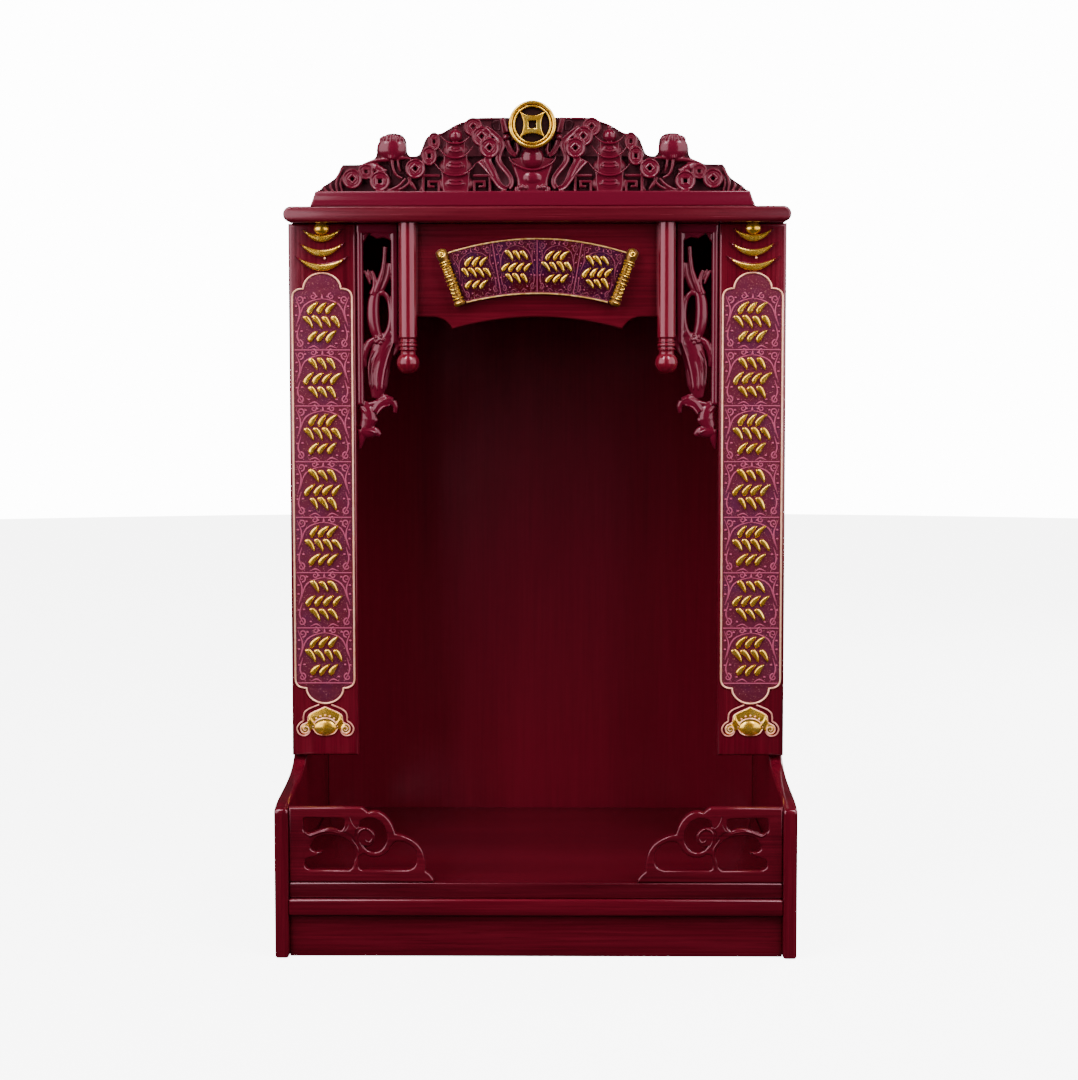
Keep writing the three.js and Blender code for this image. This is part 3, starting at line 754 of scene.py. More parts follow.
# The lines that frame each cell of the field: an arch, corner scrolls, a crown and side sprigs, with
# beads along the frame. They are drawn in shares of the cell, and place(across, up) says where a point falls
def fieldLines(place, width):
    lines = [([place(-1, 0), place(0, 0), place(1, 0)], [width * 0.8] * 2)]
    arch = [place(-0.86, 0.5), place(-0.62, 0.8), place(0, 0.91), place(0.62, 0.8), place(0.86, 0.5)]
    lines.append((arch, [width * 0.5, width, width * 0.6, width, width * 0.5]))
    sprigs = [
        [(0.96, 0.95), (0.8, 0.7), (0.93, 0.42)], [(0.7, 0.03), (0.9, 0.24), (0.8, 0.46)],
        [(0.12, 0.02), (0.3, 0.07), (0.52, 0.03)],
    ]
    scrolls = [(0.33, 0.955, 0.06, 1), (0.8, 0.9, 0.07, -1), (0.82, 0.11, 0.07, 1)]
    beads = [(0.93, 0.33), (0.93, 0.62), (0.93, 0.78), (0.62, 0.93), (0.5, 0.12), (0.74, 0.34), (0.2, 0.955)]
    for side in (-1, 1):
        for sprig in sprigs:
            lines.append(([place(side * a, b) for a, b in sprig], [width * 0.5, width, width * 0.5]))
        for a, b, reach, hand in scrolls:
            curl = spiral(0, 0, reach, 1.2, hand * math.pi / 2, side * hand)
            lines.append(([place(side * a + x * 2, b + z) for x, z in curl], [width, width * 0.6]))
        for a, b in beads:
            dot = [place(side * a, b - 0.012), place(side * a, b + 0.012)]
            lines.append((dot, [width * 1.6, width * 1.2]))
    lines.append(([place(0, 0.92), place(0, 0.995)], [width * 1.5, width * 0.5]))
    return lines


def crescent(tip, halfWidth, sag, belly, steps=16):
    upper, lower = [], []
    for i in range(steps + 1):
        t = 2 * i / steps - 1
        dip = 1 - t * t
        upper.insert(0, (t * halfWidth, tip - sag * dip))
        if 0 < i < steps:
            lower.append((t * halfWidth, tip - (sag + belly * 1.05) * dip ** 0.8))
    return lower + upper


# The depths of a lustre field's ground and of the tops of its lines, which are painted lighter as a painted
# highlight
def lustreDepths(back, thick):
    return (back - thick - 0.15) * mm, (back - thick - 0.8) * mm


def coupletBoard(name):
    edge = edgesOf("couplet_board_left")
    width, height, thick = edge.right - edge.left, edge.top - edge.bottom, couplet["thick"]
    field = lustreFinish(name + "_lustre", *lustreDepths(edge.back, thick))
    board = slab([rectangle(-width / 2, 0, width / 2, height)], 0, thick, couplet["arris"], 3)
    parts = [paint(board, uprightWood)]
    # The lustre field lies inside the moulding
    inner = cartouche(couplet["mould"] * 0.5, width, height)
    parts.append(paint(slab([inner], thick - 1, thick + 0.25, 0.1, 1), field))
    rim = cartouche(couplet["mould"] / 2, width, height)
    parts.append(paint(mouldingLoop(rim, thick, couplet["mould"], couplet["mouldProud"]), creamGilt))
    middle = (height - couplet["topGap"] + couplet["bottomGap"]) / 2
    half = width / 2 - couplet["margin"] - couplet["mould"] - 1
    lines = []
    for cell in range(couplet["cells"]):
        centre = middle + (cell - (couplet["cells"] - 1) / 2) * couplet["pitch"]
        low = centre - couplet["pitch"] / 2
        place = lambda a, b: (a * half, low + b * couplet["pitch"])
        lines += fieldLines(place, couplet["lineWidth"])
        parts += strokeCluster(0, centre, stroke["size"], cell * 7, thick, stroke["proud"])
    parts.append(paint(strands(lines, thick + 0.2, 0.9, 1, 4), field))
    parts += ingotPile(width, height - ingots["gap"], thick)
    parts += hoodedIngot(thick)
    return joined(parts, name)


# A half-round bead that follows a closed line
def mouldingLoop(outline, thick, width, proud):
    piece = bead([(x, 0, z) for x, z in outline], width, 3, closed=True)
    flat = proud / (width / 2)
    piece.data.transform(Matrix.Translation((0, -thick * mm, 0)) @ Matrix.Diagonal((1, flat, 1, 1)))
    return piece


# Three stacked ingots with a ball: red boats whose fronts are gilt crescents. The reach of each is a
# share of the board's width, and each is wider than the one above
ingots = {
    "gap": 4.7, "tiers": 3, "pitch": 13.2, "reach": 0.27, "growth": 0.045, "boatProud": 2.6, "giltProud": 3.8,
}


def ingotPile(width, top, thick):
    parts = []
    for tier in range(ingots["tiers"]):
        tip = top - 1 - tier * ingots["pitch"]
        half = width * (ingots["reach"] + ingots["growth"] * tier)
        boat = crescent(tip + 1, half + 2.4, 6.6, 6.6)
        parts.append(paint(slab([boat], thick - 1, thick + ingots["boatProud"], 1.2, 3), uprightWood))
        gilt = crescent(tip - 0.6 * tier, half - 0.9 * tier, 5.8, 6.0)
        parts.append(paint(slab([gilt], thick - 1, thick + ingots["giltProud"], 1.7, 3), giltGold))
    parts.append(paint(dome(0, top - 0.4, 7.2, 6.4, thick, 4.6, 28), giltGold))
    parts.append(paint(dome(3, top - 28.6, 1.2, 1.2, thick + 1.2, 1.6, 12), creamGilt))
    return parts


# One ingot under a scrolled hood, whose edge is drawn by a rose line and a cream line
def hoodedIngot(thick):
    outer = [
        (-6, 50), (-12, 47.6), (-17, 45.2), (-20.4, 42), (-21.4, 37.5), (-21.6, 34), (-25, 31.6),
        (-27.6, 27), (-26.6, 22.6), (-23.6, 20), (-19.6, 19.6), (-16.6, 21.4), (-15.2, 24.2),
    ]
    inner = [(0, 47.8), (-6.6, 44.8), (-12, 42.4), (-16, 39.4), (-16.8, 35.4), (-17.4, 32.8), (-20.6, 31)]
    leftHalf = smoothLine(inner[:6] + [(-14, 26), (0, 24)], 4)
    rightHalf = smoothLine([(14, 26)] + [(-x, z) for x, z in inner[5:0:-1]] + [(0.5, 47.8)], 4)
    parts = [paint(slab([leftHalf + rightHalf], thick - 1, thick + 1.4, 0.7, 2), giltGold)]
    for side in (-1, 1):
        for line, width, shade in ((outer, 1.5, roseGilt), (inner, 1.2, creamGilt)):
            edge = [(side * x, z) for x, z in line]
            parts.append(paint(strands([(edge, [width, width])], thick + 0.2, 1.4, 2, 5), shade))
        scroll = spiral(side * 19.5, 26, 5.2, 1.7, math.pi / 2, -side, 24)
        parts.append(paint(strands([(scroll, [1.4, 1.0])], thick + 0.6, 1.3, 2, 3), creamGilt))
        parts.append(paint(dome(side * 19.5, 26, 5.6, 5.8, thick - 0.4, 1.6, 18), giltGold))
        petal = [(side * 14, 40), (side * 14.4, 35), (side * 11, 30), (side * 8.6, 27)]
        parts.append(paint(strands([(petal, [1.6, 4.2, 3.6, 1.4])], thick + 0.8, 0.7, 3, 5), giltGold))
    parts.append(paint(dome(0, 27, 11.6, 8, thick, 3.8, 32), giltGold))
    rim = [(-12, 28.4), (-9.6, 33), (-5.6, 35.8), (0, 36.9), (5.6, 35.8), (9.6, 33), (12, 28.4)]
    base = [(-12, 26.6), (-9, 22.4), (-4, 20.6), (4, 20.6), (9, 22.4), (12, 26.6)]
    edgeLines = [(rim, [1.2, 1.6, 1.2]), (base, [0.8, 1.5, 0.8])]
    parts.append(paint(strands(edgeLines, thick + 1, 1.4, 2, 5), creamGilt))
    for i in range(7):
        angle = math.pi * (0.14 + 0.72 * i / 6)
        pearl = dome(12.6 * math.cos(angle), 28 + 11.6 * math.sin(angle), 1.1, 1.1, thick + 1.2, 1.3, 10)
        parts.append(paint(pearl, creamGilt))
    return parts


def placeCouplet(piece, node):
    edge = edgesOf(node)
    moved(piece, (edge.left + edge.right) / 2 * mm, edge.back * mm, edge.bottom * mm)
    finished(piece, node)


placeCouplet(coupletBoard("left_couplet"), "couplet_board_left")
placeCouplet(coupletBoard("right_couplet"), "couplet_board_right")
print("couplet boards")


# The scroll plaque: a fan of lustre field between two gilt rollers

plaque = {
    "topHalf": 92.3, "bottomHalf": 74.4, "height": 49, "topGap": 27.7, "topArch": 13.5, "bottomArch": 8.5,
    "thick": 5, "roller": 5.7, "cells": 4, "cellSize": 33, "strokeProud": 2.4, "lineWidth": 1.0, "rim": 1.4,
}


# A place on the fan, from -1 to 1 across and from 0 to 1 up
def fanPoint(across, up, inset=0.0):
    topHalf = plaque["topHalf"] - plaque["roller"] - inset
    bottomHalf = plaque["bottomHalf"] - plaque["roller"] - inset
    height = plaque["height"] - 2 * inset
    arch = plaque["bottomArch"] + (plaque["topArch"] - plaque["bottomArch"]) * up
    x = across * (bottomHalf + (topHalf - bottomHalf) * up)
    return x, inset + up * height + arch * (1 - across * across)


def fanOutline(inset, steps=24):
    shares = [2 * i / steps - 1 for i in range(steps + 1)]
    return [fanPoint(a, 0, inset) for a in shares] + [fanPoint(a, 1, inset) for a in reversed(shares)]


# How far across and forward a place on the round front lies
def onRoller(angle, reach):
    return math.sin(angle) * reach, math.cos(angle) * reach


# A gilt roller stands upright here, carved with bands, petals and a swirl, and is then leant outwards
def roller(side):
    radius = plaque["roller"]
    length = math.hypot(plaque["height"], plaque["topHalf"] - plaque["bottomHalf"]) + radius
    half = length / 2
    profile = [(0.4, -half), (0.78, -half + 0.7), (0.94, -half + 2.2), (0.94, -half + 4.4)]
    profile.append((0.76, -half + 5.6))
    bands = (-half + 7.4, -6.5, -2.6, 1.3, half - 16, half - 13.4)
    for height in bands:
        profile += [(0.78, height - 1.2), (0.93, height - 0.7), (0.93, height + 0.7), (0.78, height + 1.2)]
    profile += [(0.8, half - 11.4), (0.93, half - 9), (0.98, half - 5), (0.9, half - 1.8), (0.4, half)]
    line = [(0, height) for share, height in profile]
    widths = [2 * radius * share for share, height in profile]
    # The body is dark gilt, a darker tone that also serves as painted shade between the petals
    parts = [paint(strands([(line, widths)], 0, 0.98, 5, 1), deepGilt)]
    # Two runs of petals, each a loop on the round front
    for low, high in ((-half + 9.4, -8.4), (3.2, half - 17.8)):
        for i in range(3):
            base, step = low + (high - low) * i / 3, (high - low) / 3
            for hand in (-1, 1):
                loop = []
                for j in range(9):
                    t = j / 8
                    angle = hand * (0.1 + 0.85 * math.sin(math.pi * t) ** 0.8)
                    loop.append((*onRoller(angle, radius * 0.84), base + step * t))
                parts.append(paint(bead(loop, 1.2), giltGold))
    swirl = spiral(0, half - 5.4, 3.7, 1.6, math.pi / 2, side, 18)
    curl = [(x, math.sqrt(max(radius ** 2 * 0.92 - x * x, 0)), z) for x, z in swirl]
    parts.append(paint(bead(curl, 1.3), giltGold))
    for height in (-half + 3.2, *bands):
        around = [(*onRoller(0.2 * i, 0.88 * radius), height) for i in range(-8, 9)]
        parts.append(paint(bead(around, 1.3), giltGold))
    piece = joined(parts, "roller")
    lean = math.atan2(plaque["topHalf"] - plaque["bottomHalf"], plaque["height"])
    centre = side * (plaque["topHalf"] + plaque["bottomHalf"]) / 2
    place = Matrix.Translation((centre * mm, -radius * mm, plaque["height"] / 2 * mm))
    piece.data.transform(place @ Matrix.Rotation(side * lean, 4, "Y"))
    return piece


def addPlaque():
    thick = plaque["thick"]
    back = edgesOf("scroll_plaque").back
    base = edgesOf("header_board").top - plaque["topGap"] - plaque["height"]
    lustre = lustreFinish("plaque_lustre", *lustreDepths(back, thick))
    parts = [paint(slab([fanOutline(0)], 0, thick, 0.6, 2), lustre)]
    shares = [2 * i / 24 - 1 for i in range(25)]
    for up in (0, 1):
        arc = [fanPoint(a, up, 0.9) for a in shares]
        parts.append(paint(strands([(arc, [plaque["rim"]] * 2)], thick + 0.1, 0.9, 2, 1), rimGilt))
    lines = []
    for cell in range(plaque["cells"]):
        middle = (cell + 0.5) / plaque["cells"] * 2 - 1
        place = lambda a, b: fanPoint(middle + a * 0.235, 0.04 + 0.92 * b)
        lines += fieldLines(place, plaque["lineWidth"])
        x, z = fanPoint(middle, 0.5)
        parts += strokeCluster(x, z, plaque["cellSize"], 60 + cell * 7, thick, plaque["strokeProud"])
    for divider in (-0.5, 0, 0.5):
        lines.append(([fanPoint(divider, 0.03), fanPoint(divider, 0.5), fanPoint(divider, 0.97)], [1.1, 1.1]))
    for up in (0.06, 0.94):
        for i in range(23):
            x, z = fanPoint((i - 11) / 11.6, up)
            lines.append(([(x - 0.4, z), (x + 0.4, z)], [1.2, 1.2]))
    parts.append(paint(strands(lines, thick + 0.1, 0.9, 1, 4), lustre))
    parts += [roller(side) for side in (-1, 1)]
    piece = moved(joined(parts, "scroll"), 0, back * mm, base * mm)
    finished(piece, "scroll_plaque")


rimGilt = giltFinish("rim_gilt", (0.16, 0.05, 0.01), (0.5, 0.25, 0.06), (0.9, 0.55, 0.25), 0.4, 0.34)
addPlaque()
print("plaque")


# Hanging posts, plainly turned: a ball, a thin ring, a bead, another thin ring, a neck and the shaft

# Each ring is (height, half its thickness, radius). The cut takes the back of the shaft off
post = {
    "drop": 145, "radius": 8.8, "ball": 11, "neck": 7.4, "flat": 4.5, "joint": 0.3, "shaftFrom": 35.4,
    "rings": ((24.3, 1.0, 8.7), (28.2, 1.7, 9.0), (31.6, 0.9, 8.6)), "cut": (40, 20, 90), "cutHeight": 100,
}


def turnedProfile():
    ball, neck, shaft = post["ball"], post["neck"], post["radius"]
    profile = []
    for i in range(17):
        angle = math.pi * (0.02 + 0.75 * i / 16)
        profile.append((ball * math.sin(angle), ball * (1.02 - math.cos(angle))))
    profile.append((7.2, 22.6))
    for centre, half, reach in post["rings"]:
        for i in range(9):
            angle = math.pi * i / 8
            profile.append((neck + (reach - neck) * math.sin(angle), centre - half * math.cos(angle)))
    start = post["shaftFrom"]
    profile += [(neck, start - 1.4), (shaft - 0.4, start), (shaft, start + 0.6)]
    profile += [(shaft, start + 0.6 + (post["drop"] - start - 0.6) * i / 6) for i in range(1, 7)]
    return profile


def addPost(node, name):
    edge = edgesOf(node)
    profile = turnedProfile()
    line = [(0, height) for radius, height in profile]
    piece = strands([(line, [2 * radius for radius, height in profile])], 0, 1, 11, 1)
    # The back of the shaft is cut flat where it meets the lintel
    cut = Vector(post["cut"]) * mm
    place = (0, post["flat"] * mm + cut.y / 2, post["cutHeight"] * mm)
    bpy.ops.mesh.primitive_cube_add(size=1, location=place, scale=cut)
    cutter = bpy.context.object
    bpy.ops.object.transform_apply(location=True, rotation=False, scale=True)
    applied(piece, "BOOLEAN", object=cutter, operation="DIFFERENCE", solver="EXACT")
    bpy.data.objects.remove(cutter)
    piece.name = name
    axisY = edgesOf("header_board").front - post["joint"] - post["flat"]
    moved(piece, (edge.left + edge.right) / 2 * mm, axisY * mm, edge.bottom * mm)
    finished(paint(piece, postWood), node, 30)


# The posts' copy of the wood is painted lighter, as painted light
postWood = rosewood("rosewood_posts", "Z", 1.5, 0.18)
addPost("hanging_post_left", "left_pendant")
addPost("hanging_post_right", "right_pendant")
print("posts")


# Side brackets of carved strands. Places are (across from the couplet board, down from the top)

sideBracket = {"thick": 9, "flower": (22, -111.5), "voxel": 0.5, "rounds": 2, "faces": 60000}


def sideBracketParts(width):
    thick = sideBracket["thick"]
    middle = thick / 2
    down = lambda points: [(x, -d) for x, d in points]
    wideLeaf = down([(14, 0), (14, 11), (20, 14.5), (27, 13.4), (34, 16.5), (34, 0)])
    cornerLeaf = down([(6, 0), (6, 20), (9, 15), (12, 10), (12, 0)])
    parts = [
        slab([rectangle(0, -9.5, width, 0)], 0, thick, 2.2, 3),
        slab([rectangle(0, -175, 6.8, 0)], 0, thick, 3.0, 4),
        slab([rectangle(33.4, -116, width, 0)], 0, thick - 0.4, 2.8, 4),
        slab([wideLeaf], 0, thick - 1.2, 1.6, 3),
        slab([cornerLeaf], 0, thick - 2.6, 1.4, 3),
    ]
    # Each strand has a line, widths and its flatness
    organic = [
        ([(28, 22), (27.4, 32), (26, 44), (22.8, 55), (18.6, 66)], [4.6, 4.2, 5.2, 6.6, 7], 1.1),
        ([(33, 38), (30.6, 50), (26.6, 60), (22, 67)], [6, 5, 4.6, 4], 0.8),
        ([(14.6, 45), (17.4, 52), (17.6, 60), (15.2, 68)], [3.6, 4.4, 5, 7], 1.15),
        ([(8, 45), (10.6, 51), (13.6, 58)], [2.4, 3, 2], 0.8),
        ([(11, 44), (12.6, 49), (14.6, 54)], [2, 2.6, 2], 0.8),
        ([(18.6, 66), (16.4, 76), (16.2, 90), (18.4, 103), (23.4, 113)], [9, 11.6, 12.4, 11, 8], 0.72),
        ([(20, 68), (26.6, 67), (31.6, 74), (33.4, 88), (31.6, 101), (26, 112)], [5, 5, 5.2, 5.6, 6, 7], 1.0),
        (
            [(34, 104), (28, 114), (23.4, 127), (21.6, 142), (20.4, 156), (18.4, 168)],
            [9, 20, 22, 21, 18, 9], 0.4,
        ),
        ([(20, 110), (12, 115), (7.6, 126), (8.6, 138)], [5, 8, 6, 2], 0.9),
        ([(30, 106), (37, 108), (40, 117), (36, 127)], [8, 9, 7, 2], 0.8),
        ([(7, 172), (12, 174), (20, 172)], [4, 5, 6], 0.9),
        ([(17, 181), (22, 174.6), (29, 171), (35, 171.6)], [9, 11.5, 12, 8.5], 0.72),
        ([(35, 171), (37, 176), (36.4, 182)], [6.6, 5.4, 3.6], 1.0),
        ([(22, 166.6), (28, 165.6), (31, 168)], [3, 3.6, 2.4], 1.0),
        ([(4, 174), (9.6, 180), (11, 188), (8, 197)], [8, 14, 16, 13], 0.56),
        ([(3.6, 199), (10, 200.6), (17, 200.4), (22, 204)], [13, 12.4, 10, 4.6], 0.66),
        ([(4.2, 198), (4.2, 208), (2.4, 217)], [9, 6.6, 2], 0.9),
        ([(11, 186), (16, 189.4), (19.6, 188)], [8, 7, 3], 0.9),
    ]
    for points, widths, flat in organic:
        parts.append(strands([(down(points), widths)], middle, flat, 5, 6))
    ribs = [
        [(17, 122), (12.6, 131), (11.6, 143), (12.4, 156)], [(24, 120), (17.4, 130), (14.8, 143), (15, 158)],
        [(31, 116), (24, 129), (20.4, 144), (19.4, 160)], [(36, 113), (30, 130), (26.4, 146), (24.4, 160)],
    ]
    parts.append(strands([(down(rib), [0.8, 2.0, 0.9]) for rib in ribs], middle + 3.7, 0.9, 2, 6))
    veins = [
        [(17, 179), (22, 172.6), (29, 168.6), (35, 170)], [(19, 184), (25, 177), (32, 174.6)],
        [(5, 178), (9, 184), (9, 192)], [(6, 199), (12, 199.6), (19, 202)],
    ]
    parts.append(strands([(down(vein), [0.8, 1.9, 0.8]) for vein in veins], middle + 3.6, 0.9, 2, 6))
    parts.append(dome(*sideBracket["flower"], 4.4, 4.4, middle + 0.6, 4.2, 18))
    parts.append(dome(*sideBracket["flower"], 1.9, 1.9, middle + 3.6, 1.8, 12))
    for x, z in ellipse(*sideBracket["flower"], 3.4, 3.4, steps=5):
        parts.append(dome(x, z, 2, 2, middle + 2.8, 2.2, 12))
    return parts


def addSideBrackets():
    edge = edgesOf("side_fretwork_left")
    depths = ((edge.back - 1) * mm, (edge.front + 1) * mm)
    # Painted darker towards its ground as painted shade; the colour given last is that shade
    finish = carvedRosewood("rosewood_side_bracket", *depths, (0.03, 0.001, 0.003))
    body = joined(sideBracketParts(edge.right - edge.left), "left_bracket")
    body = fused(body, sideBracket["voxel"], sideBracket["rounds"], sideBracket["faces"])
    paint(body, finish)
    twin = copyOf(body, "right_bracket", True)
    moved(body, edge.left * mm, edge.back * mm, edge.top * mm)
    moved(twin, -edge.left * mm, edge.back * mm, edge.top * mm)
    finished(body, "side_fretwork_left", 60)
    finished(twin, "side_fretwork_right", 60)


addSideBrackets()
print("side brackets")


# Base brackets. Places are (across from the cheek, up from the floor board)

baseBracket = {"length": 133, "height": 69.7, "thick": 10, "arris": 1.7, "relief": 0.8}


def baseBracketOutlines():
    length, height = baseBracket["length"], baseBracket["height"]
    foot = [(length, 0), (length - 0.4, 3), (129.5, 7.2), (125.7, 10.1)]
    lobe = [
        (125.7, 10.1), (125.6, 16), (124.8, 22), (122.5, 29.5), (119.3, 34.4), (115, 38.2), (110.2, 41),
        (104, 43.6), (97.9, 44.9),
    ]
    scroll = [(97.9, 44.9), (96.5, 49), (93.8, 55.5), (89.3, 61), (83.8, 64.9), (77.4, 66), (72.9, 64.9)]
    crown = [(72.9, 64.9), (70.8, 66.6), (68.5, 68.6), (66, height)]
    outline = [(0, 0)]
    for run in (foot, lobe, scroll, crown):
        outline += smoothLine(run, 3)[:-1]
    outline += [(66, height), (0, height)]
    upper = [
        (13, 53), (13.4, 57.8), (16.2, 59.8), (36, 59.6), (49.6, 58.8), (51.2, 55.4), (50.4, 51.4),
        (47.8, 48.2), (44.6, 49.2), (36.4, 50.4), (28.2, 48.6), (19.1, 45.4), (15.4, 46.2), (13.2, 48.8),
    ]
    lowerRuns = [
        [
            (30.6, 29), (25, 28.2), (20.6, 30.2), (20, 34), (23.6, 40), (30, 43.2), (36, 43.8), (48.3, 42),
            (55.6, 37.4), (60.6, 30.7), (61.8, 25.2), (59.8, 19.7), (58.2, 14), (55, 11.2),
        ],
        [(55, 11.2), (20, 11.2)],
        [(20, 11.2), (15.4, 13.4), (14.2, 17), (15.2, 21), (20, 23), (26, 24.4), (30.6, 29)],
    ]
    middleRuns = [
        [
            (64.4, 51.6), (66.4, 57), (72, 59.4), (79, 59), (86, 54.4), (89.8, 46), (89.4, 37.5),
            (84.7, 30.4), (78.3, 28), (72, 30), (69, 33.6),
        ],
        [(69, 33.6), (73.6, 33), (78, 37), (79.4, 42.8), (76.6, 48.2), (70.6, 50.8), (64.4, 51.6)],
    ]
    rightRuns = [
        [(64.4, 24), (63.8, 18), (64.6, 13), (67.4, 11.2)],
        [(67.4, 11.2), (108.5, 11.2)],
        [(108.5, 11.2), (114.6, 14), (117.4, 20), (117, 28), (112.5, 33.8), (105.5, 37.4), (99.5, 38)],
        [(99.5, 38), (95.6, 35.8), (91, 28.6), (83.6, 23.8), (75, 23.4), (69, 26.4), (64.4, 24)],
    ]
    holes = [smoothLine(upper + upper[:1], 3)[:-1]]
    for runs in (lowerRuns, middleRuns, rightRuns):
        holes.append([point for run in runs for point in smoothLine(run, 3)[:-1]])
    return [outline] + holes


def baseBracketParts():
    thick = baseBracket["thick"]
    parts = [slab(baseBracketOutlines(), 0, thick, baseBracket["arris"], 4)]
    apexes = [(56, 62.4), (64, 50.2), (61, 38), (50, 47)]
    centre = (57.8, 49.6)
    star = []
    for i, apex in enumerate(apexes):
        after = apexes[(i + 1) % 4]
        pinch = weighted((0.15, 0.15, 0.7), (apex, after, centre))
        star += [apex] + curveTo(apex, pinch, after, 6)[:-1]
    parts.append(slab([star], thick - 2, thick + baseBracket["relief"], 0.6, 2))
    volute = [
        (68, 31.4), (64.2, 38.5), (64.6, 46.6), (70.1, 49.8), (75.6, 47), (77.4, 41.8), (74.4, 37.4),
        (70.6, 38.6), (70.2, 42.4),
    ]
    wave = [(14.4, 46.6), (19.1, 43.2), (28.2, 46.4), (36.4, 47.6), (47, 45.6)]
    vine = [(57.8, 40), (63.2, 31), (63, 22), (60.8, 14)]
    lines = [(volute, [1.4, 2.4, 2.4, 2.2, 1.6]), (wave, [1.2, 2.4, 2.6, 1.6]), (vine, [1.4, 2.2, 1.6])]
    lines += [([apex, centre], [0.8, 1.2]) for apex in apexes]
    parts.append(strands(lines, thick - 0.4, 1.0, 3, 5))
    return parts


def addBaseBrackets():
    edge = edgesOf("base_fretwork_left")
    piece = paint(joined(baseBracketParts(), "left_tray_bracket"), bracketWood)
    twin = copyOf(piece, "right_tray_bracket", True)
    moved(piece, edge.left * mm, edge.back * mm, edge.bottom * mm)
    moved(twin, -edge.left * mm, edge.back * mm, edge.bottom * mm)
    finished(piece, "base_fretwork_left", 45)
    finished(twin, "base_fretwork_right", 45)


bracketWood = rosewood("rosewood_tray_bracket", "X", 1.0, 0.2)
addBaseBrackets()
print("base brackets")


# The crest. Places are (across from its middle, up from its foot), depths forward from its back

crest = {
    "half": 213, "rail": 14.4, "thick": 13, "ground": 5, "stack": 73.6, "voxel": 0.5, "rounds": 1,
    "faces": 190000,
}


def crestHalfOutline():
    shoulder = [
        (0, 84.6), (26, 84.7), (50, 84.6), (56, 83.6), (62, 82), (71, 79), (77, 76), (83, 72.4), (88, 70),
        (96, 68.8), (100, 67), (103, 63.4), (105.5, 57), (108, 51), (111, 48.6), (117, 48),
    ]
    knob = [
        (117, 48), (119.8, 51), (120.5, 57), (121, 62.6), (123.4, 66.6), (127, 68.8), (133, 69.6), (139, 69),
        (143, 66), (146.4, 61.7), (149, 55.7), (149.6, 50.5), (151, 46.8), (154, 44.8),
    ]
    slope = [(154, 44.8), (161, 42), (166, 40.4), (182, 40.2)]
    tail = [
        (182, 40.2), (184.6, 36.7), (186.8, 31.7), (190, 27.2), (195, 23.6), (201, 19.6), (205, 15.6),
        (208, 10.6), (210, 5), (213, 1.5),
    ]
    line = []
    for run in (shoulder, knob, slope, tail):
        line += smoothLine(run, 3)[:-1]
    return line + [(213, 1.5), (213, 0)]


# A coin with a square hole, carved with two rims and a frame. The lean makes it look turned away
def cash(x, z, front, radius, lean=1.0, turned=False):
    hole = radius * 0.19
    corners = [(1.3, 0), (0, 1.3), (-1.3, 0), (0, -1.3)] if turned else [(1, 1), (-1, 1), (-1, -1), (1, -1)]
    square = [(x + a * hole * lean, z + b * hole) for a, b in corners]
    frameLine = [(x + a * hole * 1.8 * lean, z + b * hole * 1.8) for a, b in corners]
    frameLine.append(frameLine[0])
    edges = [([start, end], [1.0, 1.0]) for start, end in zip(frameLine, frameLine[1:])]
    return [
        slab([ellipse(x, z, radius * lean, radius), square], crest["ground"] - 1, front - 1.1, 0.6, 2),
        hoop(x, z, radius * 0.89, 1.9, front - 1.0, lean),
        hoop(x, z, radius * 0.6, 0.9, front - 1.1, lean),
        strands(edges, front - 1.0, 1.0, 2, 1),
    ]


# A ribbon has a flat middle and two raised edges
def ribbon(points, widths, front):
    outline = bandOutline(points, widths, 6)
    half = len(outline) // 2
    edgeLines = [(outline[:half], [1.4, 1.4]), (outline[half:], [1.4, 1.4])]
    return [
        slab([outline], crest["ground"] - 1, front - 1, 0.5, 2),
        strands(edgeLines, front - 0.8, 1.0, 2, 1),
    ]


# A boat-shaped ingot: a round body that hangs from a rim whose ends turn up
def bowl(x, tip, half, sag, foot, footHalf, front):
    rim = []
    for i in range(21):
        t = i / 10 - 1
        rim.append((x + t * half, tip - sag * (1 - abs(t) ** 2.5)))
    low = tip - sag
    body = rim[3:18] + [
        (x + half * 0.66, low + 0.6), (x + footHalf * 1.1, low - (low - foot) * 0.4), (x + footHalf, foot),
        (x - footHalf, foot), (x - footHalf * 1.1, low - (low - foot) * 0.4), (x - half * 0.66, low + 0.6),
    ]
    middle = (low + foot) / 2
    lift = front - crest["ground"]
    parts = [
        slab([body], crest["ground"] - 1, front - 3, 1.2, 3),
        dome(x, middle, footHalf * 1.5, (low - foot) * 0.62, crest["ground"] - 1, lift - 0.8, 24),
        strands([(rim, [0.8, 1.5, 2.3, 2.5, 2.3, 1.5, 0.8])], front - 1.3, 1.15, 3, 1),
    ]
    for share in (0.3, 0.62):
        level = low - 1.6 - (low - foot) * share * 0.7
        bend = [(x - footHalf * 0.9, level + 1), (x, level - 0.5), (x + footHalf * 0.9, level + 1)]
        parts.append(strands([(bend, [0.5, 0.9, 0.5])], front - 1.5, 1, 1, 5))
    return parts


def ingotStack(x):
    parts = []
    tiers = (
        (67, 14.2, 7.6, 46.5, 8.6, 11.2), (57.4, 17.2, 11.6, 30, 11, 11.9),
        (41.6, 20.2, 12.6, crest["rail"] - 1, 12, 12.6),
    )
    for tier in tiers:
        parts += bowl(x, *tier)
    parts.append(dome(x, 66.6, 6.5, 6.5, 6, 6.6, 24))
    parts.append(dome(x, 74.6, 2.5, 2.5, 6, 3.4, 14))
    return parts


